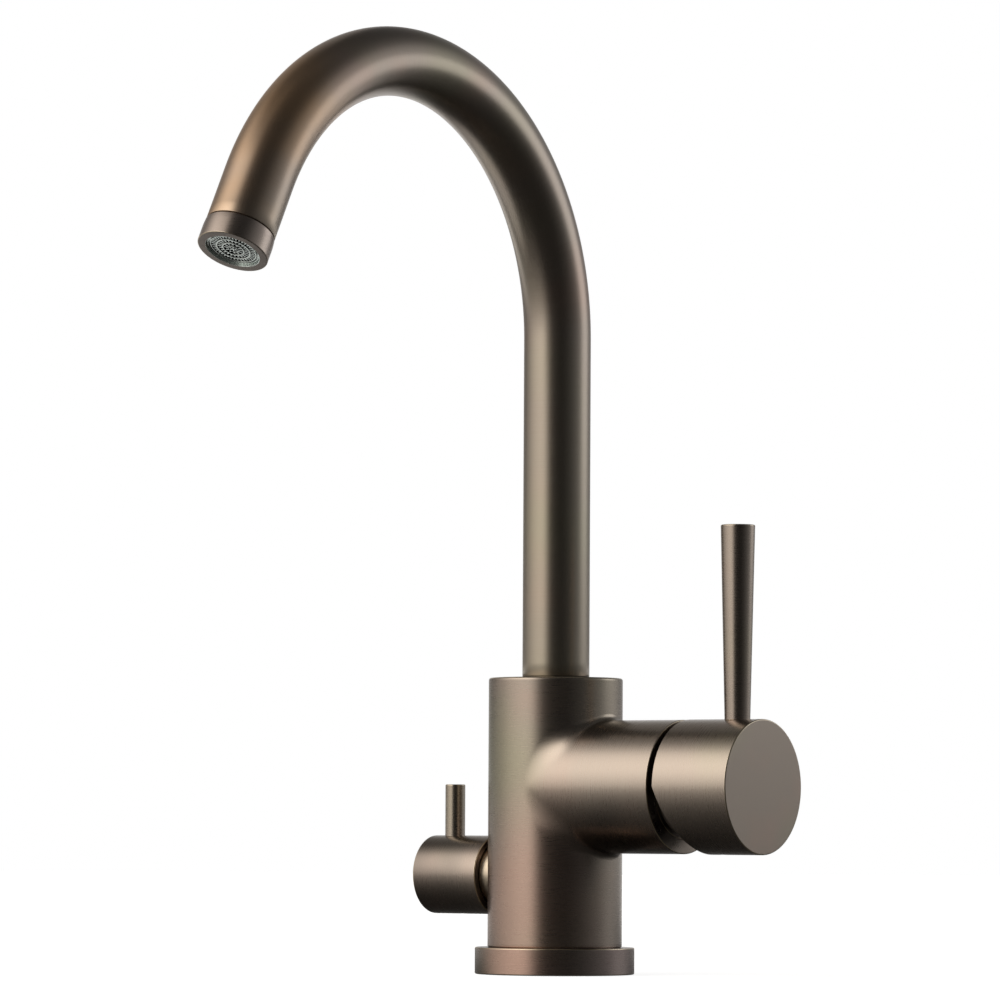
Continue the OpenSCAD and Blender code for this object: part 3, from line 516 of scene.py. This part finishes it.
def body_shell(sizes):
    """The upright body with its branch, blended, closed inside and underneath."""
    lift = Vector((0, 0, BRANCH_Z))
    rings = [[p + lift for p in ring] for ring in saddle_rings(sizes)]
    bm = bmesh.new()
    on_branch = bm.verts.layers.float.new("on_branch")
    painted_highlight = bm.verts.layers.float.new("painted_highlight")
    verts = [bm.verts.new(p) for p in rings[0]]
    edges = [bm.edges.new((a, b)) for a, b in zip(verts, verts[1:] + verts[:1])]
    rim = (verts, edges)
    current = rim
    for index, ring in enumerate(rings[1:], 1):
        current = ring_on(bm, current, ring)
        share = min(1.0, max(0.0, (index - 4) / 8))
        for vert in current[0]:
            vert[on_branch] = 1.0 - share
    for vert in rim[0]:
        vert[on_branch] = 1.0

    def along_rim(radius, x):
        return [Vector((x * MM, v.co.y * radius * MM / sizes.branch_radius,
                        BRANCH_Z + (v.co.z - BRANCH_Z) * radius * MM / sizes.branch_radius)) for v in verts]

    current = rim
    reach, outer, edge = sizes.branch_reach / MM, sizes.branch_radius / MM, 0.4
    mouth, mouth_edge, shoulder = 19.15, 0.35, 47.5
    seat, seat_floor = 17.6, 19.0
    profile = [(outer, reach - edge)]
    profile += [(outer - edge + edge * math.cos(a), reach - edge + edge * math.sin(a))
                for a in (math.radians(15 * k) for k in range(1, 7))]
    profile += [(outer - edge - 0.25, reach), (mouth + mouth_edge, reach), (mouth, reach - mouth_edge),
                (mouth, shoulder), (seat, shoulder), (seat, seat_floor)]
    for index, (radius, x) in enumerate(profile):
        current = ring_on(bm, current, along_rim(radius, x))
        for vert in current[0]:
            vert[on_branch] = 1.0
            # The rim's rounding is marked for a painted highlight
            vert[painted_highlight] = 1.0 if 1 <= index <= 5 else 0.0
    bmesh.ops.edgeloop_fill(bm, edges=current[1])
    bmesh.ops.remove_doubles(bm, verts=bm.verts, dist=1e-6)

    def open_ring(height):
        """The open edges at that height."""
        return [e for e in bm.edges if e.is_boundary and all(abs(v.co.z - height) < 1e-6 for v in e.verts)]

    def grow(edges_now, steps, highlit=(0, 0)):
        """Extrudes open edges to each (radius, height) in turn, with a painted highlight between two heights.
        """
        for radius, height in steps:
            made = bmesh.ops.extrude_edge_only(bm, edges=edges_now)["geom"]
            edges_now = [g for g in made if isinstance(g, bmesh.types.BMEdge)]
            new = [g for g in made if isinstance(g, bmesh.types.BMVert)]
            for vert in new:
                flat = Vector((vert.co.x, vert.co.y)).normalized() * radius * MM
                vert.co = (flat.x, flat.y, height * MM)
                vert[on_branch] = 0.0
                vert[painted_highlight] = 1.0 if highlit[0] < height < highlit[1] else 0.0
            edges_now = [e for e in edges_now if e.is_boundary]
        return edges_now

    body_r = sizes.body_radius / MM
    socket, socket_floor = 11.31, 81
    waist, underside = 21, 1.5
    arc = [math.radians(15 * k) for k in range(1, 7)]
    up = [(body_r - HEAD_EDGE * (1 - math.cos(a)), HEAD - HEAD_EDGE * (1 - math.sin(a))) for a in arc]
    up += [(body_r - HEAD_EDGE - 0.4, HEAD), (socket + 0.49, HEAD), (socket + 0.19, HEAD - 0.1),
           (socket, HEAD - 0.4), (socket, socket_floor)]
    # The top edge's rounding is marked for a painted highlight
    bmesh.ops.edgeloop_fill(bm, edges=grow(open_ring((HEAD - HEAD_EDGE) * MM), up, (HEAD - 0.4, HEAD - 0.01)))
    down = [(body_r - FOOT_EDGE * (1 - math.cos(a)), FOOT + FOOT_EDGE * (1 - math.sin(a))) for a in arc]
    down += [(body_r - FOOT_EDGE - 0.3, FOOT), (waist, FOOT),
             (waist, underside + 0.3), (waist - 0.3, underside)]
    bmesh.ops.edgeloop_fill(bm, edges=grow(open_ring((FOOT + FOOT_EDGE) * MM), down))
    bmesh.ops.recalc_face_normals(bm, faces=bm.faces)
    return bm


# Pieces

class TAP_OT_studio(bpy.types.Operator):
    """Sets up the camera, the pale floor and the soft studio light"""

    bl_idname = "tap.studio"
    bl_label = "Studio"

    # The camera stands to the front right of the tap, a little above the worktop
    azimuth = math.radians(36.86)
    distance = 2.101
    height = 0.0568
    side_step = 0.0212
    pitch = math.radians(3.26)
    roll = math.radians(0.31)
    lens = 202.7
    # The floor's radius, and how far it lies below the tap, so that the two don't flicker
    floor_radius = 4.0
    floor_drop = 0.0002
    # A pale card lies on the floor at the left and glows a little, as a low fill light: its middle, and where
    # it fades out
    card = (-0.42, -0.04, 0)
    card_inner, card_outer = 0.20, 0.27
    # The white backdrop's sweep on the floor, measured behind the tap
    sweep_start, sweep_end = 0.45, 1.00

    def execute(self, context):
        self.camera(context)
        self.world(context)
        self.back_panel(context)
        self.floor(context)
        return {"FINISHED"}

    def camera(self, context):
        a, p, r = self.azimuth, self.pitch, self.roll
        right = Vector((math.cos(a), math.sin(a), 0))
        forward = Vector((-math.sin(a) * math.cos(p), math.cos(a) * math.cos(p), math.sin(p)))
        up = right.cross(forward)
        stand = Vector((math.sin(a), -math.cos(a), 0)) * self.distance - right * self.side_step
        stand.z = self.height
        across = right * math.cos(r) + up * math.sin(r)
        above = up * math.cos(r) - right * math.sin(r)
        data = bpy.data.cameras.new("studio_camera")
        data.lens = self.lens
        data.sensor_width = 36
        data.clip_end = 30
        camera = bpy.data.objects.new("studio_camera", data)
        context.scene.collection.objects.link(camera)
        turn = Matrix((across, above, -forward)).transposed().to_4x4()
        camera.matrix_world = Matrix.Translation(stand) @ turn
        context.scene.camera = camera

    def world(self, context):
        world = bpy.data.worlds.new("studio")
        context.scene.world = world
        finish = Finish(world)
        direction = finish.add("ShaderNodeTexCoord", None, None, 0)
        a = self.azimuth

        def part(vector):
            return finish.add("ShaderNodeVectorMath", {"operation": "DOT_PRODUCT"}, {
                0: direction, 1: vector}, 1)

        toward = part((math.sin(a), -math.cos(a), 0))
        aside = part((math.cos(a), math.sin(a), 0))
        height = part((0, 0, 1))
        turn = finish.add("ShaderNodeMath", {"operation": "ARCTAN2"}, {0: aside, 1: toward})
        turn = finish.stretch(turn, -math.pi, math.pi)
        rise = finish.stretch(finish.add("ShaderNodeMath", {"operation": "ARCSINE"}, {0: height}),
                              -math.pi / 2, math.pi / 2)

        def level(value, stops, span, scale):
            """The light level at an angle from -span to span degrees. No stop passes the level scale."""
            places = [((angle + span) / (2 * span), amount / scale) for angle, amount in stops]
            return finish.add("ShaderNodeValToRGB", {"stops": places}, {0: value}) * scale

        key_turn = level(turn, KEY_TURN, 180, 2.0)
        key_rise = level(rise, KEY_RISE, 90, 2.5)
        side_turn = level(turn, SIDE_TURN, 180, 2.0)
        side_rise = level(rise, SIDE_RISE, 90, 2.0)
        back_turn = level(turn, BACK_TURN, 180, 2.0)
        back_rise = level(rise, BACK_RISE, 90, 2.0)
        room = level(rise, ROOM_RISE, 90, 1.0)
        key, cool = key_turn * key_rise, side_turn * side_rise + room
        warm_white, white = (1.0, 0.94, 0.87), (1.0, 1.0, 1.0)
        warm_light = finish.add("ShaderNodeVectorMath", {"operation": "SCALE"}, {0: warm_white, "Scale": key})
        cool_light = finish.add("ShaderNodeVectorMath", {"operation": "SCALE"}, {0: white, "Scale": cool})
        studio = finish.add("ShaderNodeVectorMath", {"operation": "ADD"}, {0: warm_light, 1: cool_light})
        # The white backdrop fills the camera's view, and metal shows it where it stands behind the tap
        share = self.background_share(finish, back_turn * back_rise)
        shown = finish.mix(share, studio, shade(white))
        finish.surface(finish.add("ShaderNodeBackground", None, {"Color": shown, "Strength": 1.0}))

    @staticmethod
    def background_share(finish, backdrop):
        """1 where a ray shows the white: the camera's rays, glass's rays, and metal's into the backdrop."""
        seen, mirrored, through = (finish.add("ShaderNodeLightPath", None, None, f"Is {kind} Ray")
                                   for kind in ("Camera", "Glossy", "Transmission"))
        return seen + through + mirrored * backdrop

    def back_panel(self, context):
        """A soft panel behind the tap, at the right, that lights the edges facing away from the camera."""
        angle, distance = self.azimuth + math.radians(108), 0.9
        width, low, high, radiance = 0.55, 0.20, 0.60, 0.9
        middle = Vector((math.sin(angle), -math.cos(angle), 0)) * distance
        middle.z = (low + high) / 2
        data = bpy.data.lights.new("back_panel", "AREA")
        data.shape = "RECTANGLE"
        data.size, data.size_y = width, high - low
        data.energy = radiance * math.pi * width * (high - low)
        lamp = bpy.data.objects.new("back_panel", data)
        context.scene.collection.objects.link(lamp)
        aim = Vector((0, -0.08, 0.2)) - middle
        lamp.matrix_world = Matrix.Translation(middle) @ aim.to_track_quat("-Z", "Y").to_matrix().to_4x4()

    def floor(self, context):
        """White to the camera, with the tap's shadow. Metal sees it dark, with the card and the sweep."""
        finish = Finish(bpy.data.materials.new("pale_floor"))
        spot = finish.add("ShaderNodeTexCoord", None, None, 3)
        behind = finish.add("ShaderNodeVectorMath", {"operation": "DOT_PRODUCT"}, {
            0: spot, 1: (-math.sin(self.azimuth), math.cos(self.azimuth), 0)}, 1)
        away = finish.add("ShaderNodeVectorMath", {"operation": "DISTANCE"}, {0: spot, 1: self.card}, 1)
        ragged = away + (finish.noise(spot, 6.0) - 0.5) * 0.02
        pale = finish.stretch(ragged, self.card_outer, self.card_inner)
        tone = finish.mix(pale, shade([0.075] * 3), shade([0.95] * 3))
        own = finish.mix(pale, shade([0.0] * 3), shade([0.35] * 3))
        sheen = finish.add("ShaderNodeBsdfPrincipled", None, {
            "Base Color": tone, "Roughness": 0.3, "IOR": 1.35,
            "Emission Color": own, "Emission Strength": 1.0})
        lit = finish.add("ShaderNodeBsdfDiffuse", None, {"Color": shade([0.6] * 3)})
        glow = finish.add("ShaderNodeEmission", None, {"Color": shade([1.0] * 3), "Strength": 0.86})
        white = finish.add("ShaderNodeAddShader", None, {0: lit, 1: glow})
        share = self.background_share(finish, finish.stretch(behind, self.sweep_start, self.sweep_end))
        both = finish.add("ShaderNodeMixShader", None, {0: share, 1: sheen, 2: white})
        bm = bmesh.new()
        bmesh.ops.create_circle(bm, cap_ends=True, segments=96, radius=self.floor_radius)
        bmesh.ops.translate(bm, verts=bm.verts, vec=(0, 0, -self.floor_drop))
        mesh = bpy.data.meshes.new("floor")
        bm.to_mesh(mesh)
        bm.free()
        mesh.materials.append(finish.surface(both))
        floor = bpy.data.objects.new("floor", mesh)
        context.scene.collection.objects.link(floor)


class TAP_OT_base_ring(bpy.types.Operator):
    """Makes the base ring"""

    bl_idname = "tap.base_ring"
    bl_label = "Base ring"

    def execute(self, context):
        outer, bore, top = context.scene.tap_sizes.ring_radius / MM, 21.05, 9.95
        bm = turned([(bore, 0, 0.2), (outer, 0, 0.5), (outer, top, 0.5), (bore, top, 0.2)])
        piece("base_ring_turned", bm, "tap_body", ["base_ring"], "bronze", "bronze_ring")
        return {"FINISHED"}


class TAP_OT_body(bpy.types.Operator):
    """Makes the upright body with its branch and the holes in it"""

    bl_idname = "tap.body"
    bl_label = "Body"

    def execute(self, context):
        sizes = context.scene.tap_sizes
        valve_recess = rod_cutter(ALONG_VALVE, 12.0, 21.8, 40)
        valve_bore = rod_cutter(ALONG_VALVE, 9.2, 10, 30)
        grub_screw_hole = rod_cutter(axis_matrix((0, 0, 97.2 * MM), (0, 1, 0)), 2.1, 16, 40, 32)
        holes = [valve_recess, valve_bore, grub_screw_hole]
        hoses = [(x, y, 4.5, 12) for x, y in ((10, 8), (10, -8), (-13, 0))]
        studs = [(x, y, 3.4, 14) for x, y in ((0, 15), (0, -15))]
        for x, y, radius, depth in hoses + studs:
            holes.append(rod_cutter(Matrix.Translation((x * MM, y * MM, 0)), radius, -2, 1.5 + depth, 48))
        bm = drill("body_cut", body_shell(sizes), holes)
        piece("body_casting", bm, "tap_body", ["body"], "bronze", "bronze_body", weigh=False)
        return {"FINISHED"}


class TAP_OT_spout(bpy.types.Operator):
    """Makes the bent spout tube with its wall"""

    bl_idname = "tap.spout"
    bl_label = "Spout tube"

    def execute(self, context):
        sizes = context.scene.tap_sizes
        foot = 110.5 * MM
        bm = bmesh.new()
        # How far along the tube each vertex lies, for the brushing to follow
        path = bm.verts.layers.float_vector.new("along_tube")
        bmesh.ops.create_circle(bm, segments=128, radius=sizes.tube_radius)
        bmesh.ops.translate(bm, verts=bm.verts, vec=(0, 0, foot))
        for vert in bm.verts:
            vert[path] = vert.co
        edges, travelled = bm.edges[:], foot
        leg_steps, arc_steps, tail_steps = 24, 110, 5

        def onward(matrix, step, edges_now):
            nonlocal travelled
            travelled += step
            made = bmesh.ops.extrude_edge_only(bm, edges=edges_now)["geom"]
            verts = [g for g in made if isinstance(g, bmesh.types.BMVert)]
            bmesh.ops.transform(bm, matrix=matrix, verts=verts)
            for vert in verts:
                vert[path] = Vector((vert[path].x, vert[path].y, travelled))
            return [g for g in made if isinstance(g, bmesh.types.BMEdge) and g.is_boundary]

        leg = (ARC_START_Z - foot) / leg_steps
        for _ in range(leg_steps):
            edges = onward(Matrix.Translation((0, 0, leg)), leg, edges)
        centre = Matrix.Translation((0, -ARC_RADIUS, ARC_START_Z))
        bend = centre @ Matrix.Rotation(ARC_ANGLE / arc_steps, 4, "X") @ centre.inverted()
        for _ in range(arc_steps):
            edges = onward(bend, ARC_RADIUS * ARC_ANGLE / arc_steps, edges)
        for _ in range(tail_steps):
            edges = onward(Matrix.Translation(TAIL_DIRECTION * TAIL_LENGTH / tail_steps),
                           TAIL_LENGTH / tail_steps, edges)
        bmesh.ops.recalc_face_normals(bm, faces=bm.faces)
        obj = piece("spout_bent_tube", bm, "spout", ["spout_tube"], "bronze_tube", "bronze_tube", weigh=False)
        wall = obj.modifiers.new("wall", "SOLIDIFY")
        wall.thickness = sizes.tube_wall
        wall.offset = -1
        rim = obj.modifiers.new("rim edges", "BEVEL")
        rim.width = sizes.fine_edge
        rim.segments = 2
        rim.limit_method = "ANGLE"
        rim.angle_limit = math.radians(50)
        return {"FINISHED"}


class TAP_OT_aerator(bpy.types.Operator):
    """Makes the aerator's collar and its ribbed insert"""

    bl_idname = "tap.aerator"
    bl_label = "Aerator"

    def execute(self, context):
        sizes = context.scene.tap_sizes
        outer, end = sizes.collar_radius / MM, sizes.collar_length / MM
        bore, groove, groove_depth, lip = 11.05, 11.9, 0.45, 1.4
        mouth, mouth_edge = 9.7, 0.25
        collar = turned([(bore, 0.05, 0), (groove, 0.05, 0), (groove, groove_depth, 0),
                         (12.6, groove_depth, 0.12), (outer, 3, 0), (outer, end, 0.3),
                         (mouth, end, mouth_edge), (mouth, end - lip, 0), (bore, end - lip, 0)], 160)
        # The mouth's wall is as grey as the insert, and the end face, which faces down, is painted darker
        # than the outside as painted shade
        for polygon in collar.faces:
            in_mouth = polygon.calc_center_median().to_2d().length < (mouth + mouth_edge) * MM
            polygon.material_index = 2 if in_mouth else int(polygon.normal.z > 0.9)
        piece("aerator_collar_ring", place(collar, ALONG_TAIL), "spout", ["aerator_collar"], "bronze",
              "bronze_collar", "bronze_collar_end", "aerator_grey")
        self.insert(sizes)
        return {"FINISHED"}

    def insert(self, sizes):
        """A plate with ringed walls and spokes on it, pale on their raised tops and painted near black
        between them, as painted shade in the recesses.
        """
        back, floor, flange, face = 5.6, 6.0, 7.4, 8.0
        rim, flange_rim, wall_edge = 9.6, 10.9, 0.16
        post, post_edge = 0.55, 0.15
        bm = turned([(0, back, 0), (flange_rim, back, 0), (flange_rim, flange, 0), (rim, flange, 0),
                     (rim, floor, 0), (0, floor, 0)], 96, False)
        for inner, outer in ((8.95, rim), (8.0, 8.55), (5.75, 6.45), (3.55, 4.2), (1.7, 2.1)):
            wall = turned([(inner, floor, 0), (outer, floor, 0),
                           (outer, face, wall_edge), (inner, face, wall_edge)], 96)
            self.join(bm, wall)
        bands = ((2.05, 3.6, 12), (4.15, 5.8, 24), (6.4, 8.05, sizes.rim_ribs))
        for inner, outer, count in bands:
            self.join(bm, self.spokes(inner, outer, count, 0.5, floor, face - 0.25))
        self.join(bm, self.spokes(0.2, 1.75, 6, 0.36, floor, face - 0.1))
        middle = turned([(0, floor, 0), (post, floor, 0), (post, face, post_edge), (0, face, 0)], 32, False)
        self.join(bm, middle)
        # The groove between the two outermost walls is shallow
        inner, outer, groove = 8.5, 9.0, face - 0.5
        bottom = turned([(inner, floor, 0), (outer, floor, 0), (outer, groove, 0), (inner, groove, 0)], 96)
        self.join(bm, bottom)
        bm.normal_update()
        for polygon in bm.faces:
            # Faces that are not raised tops facing out get the near-black painted shade
            shown = polygon.normal.z > 0.4 and polygon.calc_center_median().z > (floor + 0.3) * MM
            polygon.material_index = int(not shown)
        piece("aerator_face_insert", place(bm, ALONG_TAIL), "spout", ["aerator_insert"], "grey_plastic",
              "aerator_grey", "aerator_dark")

    @staticmethod
    def spokes(inner, outer, count, width, low, high):
        """Plain bars from one radius to another, spread round the axis."""
        bm = bmesh.new()
        bmesh.ops.create_cube(bm, size=1)
        scale = ((outer - inner) * MM, width * MM, (high - low) * MM)
        bmesh.ops.scale(bm, vec=scale, verts=bm.verts)
        bmesh.ops.translate(bm, vec=((inner + outer) / 2 * MM, 0, (low + high) / 2 * MM), verts=bm.verts)
        bmesh.ops.spin(bm, geom=bm.verts[:] + bm.edges[:] + bm.faces[:], cent=(0, 0, 0), axis=(0, 0, 1),
                       angle=math.tau * (count - 1) / count, steps=count - 1, use_duplicate=True)
        bmesh.ops.recalc_face_normals(bm, faces=bm.faces)
        return bm

    @staticmethod
    def join(target, other):
        """Adds another bmesh to the target."""
        mesh = bpy.data.meshes.new("part")
        other.to_mesh(mesh)
        other.free()
        target.from_mesh(mesh)
        bpy.data.meshes.remove(mesh)


class TAP_OT_dome(bpy.types.Operator):
    """Makes the domed cover that shows in the gap behind the lever's cap"""

    bl_idname = "tap.dome"
    bl_label = "Cartridge dome"

    def execute(self, context):
        # The dome is round about the lever's pivot, so that the cap clears it at every tilt
        pivot, radius, inner = 47.0, 20.8, 19.6
        skirt, skirt_start, skirt_end, mouth = 19.1, 54.6, 58.6, 13.0
        steps = 14
        first, last = math.acos((skirt_end - pivot) / radius), math.asin(mouth / radius)
        outer_arc = [first + (last - first) * k / steps for k in range(steps + 1)]
        corners = [(skirt, skirt_start, 0.2), (skirt, skirt_end, 0.25)]
        corners += [(radius * math.sin(t), pivot + radius * math.cos(t), 0) for t in outer_arc]
        corners += [(inner * math.sin(t), pivot + inner * math.cos(t), 0) for t in reversed(outer_arc)]
        corners += [(16.0, skirt_start, 0)]
        bm = turned(corners, 160)
        piece("cartridge_dome_cover", place(bm, ALONG_BRANCH), "tap_body", ["cartridge_dome"], "dark_bronze",
              "bronze_round_x")
        return {"FINISHED"}


class TAP_OT_lever(bpy.types.Operator):
    """Makes the lever's cap with its slanted rear edge, and the tapered rod"""

    bl_idname = "tap.lever"
    bl_label = "Lever"

    def execute(self, context):
        sizes = context.scene.tap_sizes
        outer, bore = sizes.cap_radius / MM, 21.6
        rear, front, bore_end = 61.5, 93.7, 88.7
        bm = turned([(bore, rear, 0), (outer, rear, 0), (outer, front, 0.5), (0, front, 0), (0, bore_end, 0),
                     (bore, bore_end, 0.5)], 224, False)
        place(self.closed_rear(bm), ALONG_BRANCH)
        slant = Vector((sizes.cap_radius, 0, sizes.cap_slant)).normalized()
        bmesh.ops.bisect_plane(bm, geom=bm.verts[:] + bm.edges[:] + bm.faces[:], dist=1e-7,
                               plane_co=(rear * MM, 0, BRANCH_Z), plane_no=slant, clear_inner=True)
        bmesh.ops.remove_doubles(bm, verts=bm.verts, dist=1e-7)
        bmesh.ops.holes_fill(bm, edges=[e for e in bm.edges if e.is_boundary])
        bmesh.ops.recalc_face_normals(bm, faces=bm.faces)
        screw_x, rod_x, gap, rod_length = 76.1 * MM, 82.1 * MM, 0.05, 71.4
        down = axis_matrix((screw_x, 0, BRANCH_Z), (0, 0, -1))
        up = Matrix.Translation((rod_x, 0, BRANCH_Z))
        foot, head = sizes.rod_foot / MM, sizes.rod_head / MM
        seat = math.sqrt(outer ** 2 - foot ** 2) - gap
        grub_screw_hole = rod_cutter(down, 2.1, 12, 30, 32)
        bm = drill("cap_cut", bm, [grub_screw_hole, rod_cutter(up, foot + gap, seat, 30)])
        piece("lever_cap_shell", bm, "lever", ["lever_cap"], "bronze", "bronze_round_x")
        rod = turned([(0, seat + gap, 0), (foot, seat + gap, 0.25), (head, seat + rod_length, 0.5),
                      (0, seat + rod_length, 0)], 96, False)
        piece("lever_rod_tapered", place(rod, up), "lever", ["lever_rod"], "bronze", "bronze_round_z")
        return {"FINISHED"}

    @staticmethod
    def closed_rear(bm):
        """Joins the cavity's mouth to the cap's rear rim."""
        rims = [e for e in bm.edges if e.is_boundary]
        bmesh.ops.bridge_loops(bm, edges=rims)
        bmesh.ops.recalc_face_normals(bm, faces=bm.faces)
        return bm


class TAP_OT_shutoff(bpy.types.Operator):
    """Makes the shut-off valve's neck, its knob and the knob's stick"""

    bl_idname = "tap.shutoff"
    bl_label = "Shut-off valve"

    def execute(self, context):
        sizes = context.scene.tap_sizes
        bore, thread, neck_r, tail_r = 4.1, 9.0, 11.7, 7.4
        neck = turned([(bore, 10, 0), (thread, 10, 0), (thread, 21.85, 0), (neck_r, 21.85, 0.15),
                       (neck_r, 28.5, 0.3), (tail_r, 28.5, 0), (tail_r, 36.1, 0.2), (bore, 36.1, 0)], 160)
        piece("valve_neck_bush", place(neck, ALONG_VALVE), "tap_body", ["valve_bonnet"], "bronze",
              "bronze_neck")
        outer, hollow = sizes.knob_radius / MM, 12.2
        start, hollow_end, end = 26.6, 38.5, 55.8
        knob = turned([(0, hollow_end, 0), (hollow, hollow_end, 0.4), (hollow, start, 0.3),
                       (outer, start, 0.4), (outer, end, 0.6), (0, end, 0)], 192, False)
        stick_r, gap, stick_top = sizes.stick_radius / MM, 0.05, 33.9
        seat = math.sqrt(outer ** 2 - stick_r ** 2) - gap
        up = Matrix.Translation((-46.8 * MM, 0, VALVE_Z))
        down = axis_matrix((-42.7 * MM, 0, VALVE_Z), (0, 0, -1))
        grub_screw_hole = rod_cutter(down, 1.65, 5, 20, 32)
        knob = drill("knob_cut", place(knob, ALONG_VALVE), [rod_cutter(up, stick_r + gap, seat, 20),
                                                            grub_screw_hole])
        piece("shutoff_knob_shell", knob, "shutoff", ["shutoff_knob"], "bronze", "bronze_knob")
        stick = turned([(0, seat + gap, 0), (stick_r, seat + gap, 0.15), (stick_r, stick_top, 0.4),
                        (0, stick_top, 0)], 96, False)
        piece("knob_stick_pin", place(stick, up), "shutoff", ["knob_stick"], "bronze", "bronze_round_z")
        return {"FINISHED"}


INNER_FINISHES = {
    "black_rubber": ["base_gasket", "spout_o_rings", "spout_slide_washer", "aerator_washer",
                     "cartridge_port_seals", "cartridge_rotor_o_ring", "valve_bonnet_o_ring",
                     "valve_seat_seal", "valve_spindle_o_ring"],
    "inner_brass": ["spout_nipple", "outlet_bush", "cartridge_nut", "lever_spindle", "valve_spindle"],
    "inner_steel": ["spout_retaining_screw", "cartridge_pivot_pin", "lever_set_screw", "valve_spindle_clip",
                    "knob_set_screw"],
    "white_plastic": ["spout_glide_ring", "cartridge_base", "cartridge_disc_carrier", "cartridge_rotor"],
    "grey_plastic": ["aerator_flow_plate", "cartridge_housing"],
    "disc_ceramic": ["cartridge_fixed_disc", "cartridge_moving_disc", "valve_fixed_disc",
                     "valve_moving_disc"],
}


class TAP_OT_inner_pieces(bpy.types.Operator):
    """Gives the pieces that keep their solid shape a finish of their own"""

    bl_idname = "tap.inner_pieces"
    bl_label = "Inner pieces"

    def execute(self, context):
        for name, nodes in INNER_FINISHES.items():
            for node in nodes:
                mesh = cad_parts[node].data
                mesh.materials.clear()
                mesh.materials.append(finish_named(name))
        return {"FINISHED"}


class TAP_PT_panel(bpy.types.Panel):
    """Lists the steps that build the tap"""

    bl_idname = "TAP_PT_panel"
    bl_label = "Mixer tap"
    bl_space_type = "VIEW_3D"
    bl_region_type = "UI"
    bl_category = "Mixer tap"

    def draw(self, context):
        for group in (context.scene.tap_sizes, context.scene.tap_finishes):
            box = self.layout.box()
            for name in group.bl_rna.properties.keys():
                if name not in ("rna_type", "name"):
                    box.prop(group, name)
        for operator in STEPS:
            self.layout.operator(operator.bl_idname)


STEPS = (TAP_OT_studio, TAP_OT_base_ring, TAP_OT_body, TAP_OT_spout, TAP_OT_aerator, TAP_OT_dome,
         TAP_OT_lever, TAP_OT_shutoff, TAP_OT_inner_pieces)
CLASSES = (TapSizes, TapFinishes, *STEPS, TAP_PT_panel)


def register():
    for cls in CLASSES:
        bpy.utils.register_class(cls)
    bpy.types.Scene.tap_sizes = PointerProperty(type=TapSizes)
    bpy.types.Scene.tap_finishes = PointerProperty(type=TapFinishes)


def unregister():
    del bpy.types.Scene.tap_finishes
    del bpy.types.Scene.tap_sizes
    for cls in reversed(CLASSES):
        bpy.utils.unregister_class(cls)


def main():
    register()
    bpy.context.scene.view_settings.view_transform = "Standard"
    bpy.ops.tap.studio()
    bpy.ops.tap.base_ring()
    bpy.ops.tap.body()
    bpy.ops.tap.spout()
    bpy.ops.tap.aerator()
    bpy.ops.tap.dome()
    bpy.ops.tap.lever()
    bpy.ops.tap.shutoff()
    bpy.ops.tap.inner_pieces()


if __name__ == "__main__":
    main()
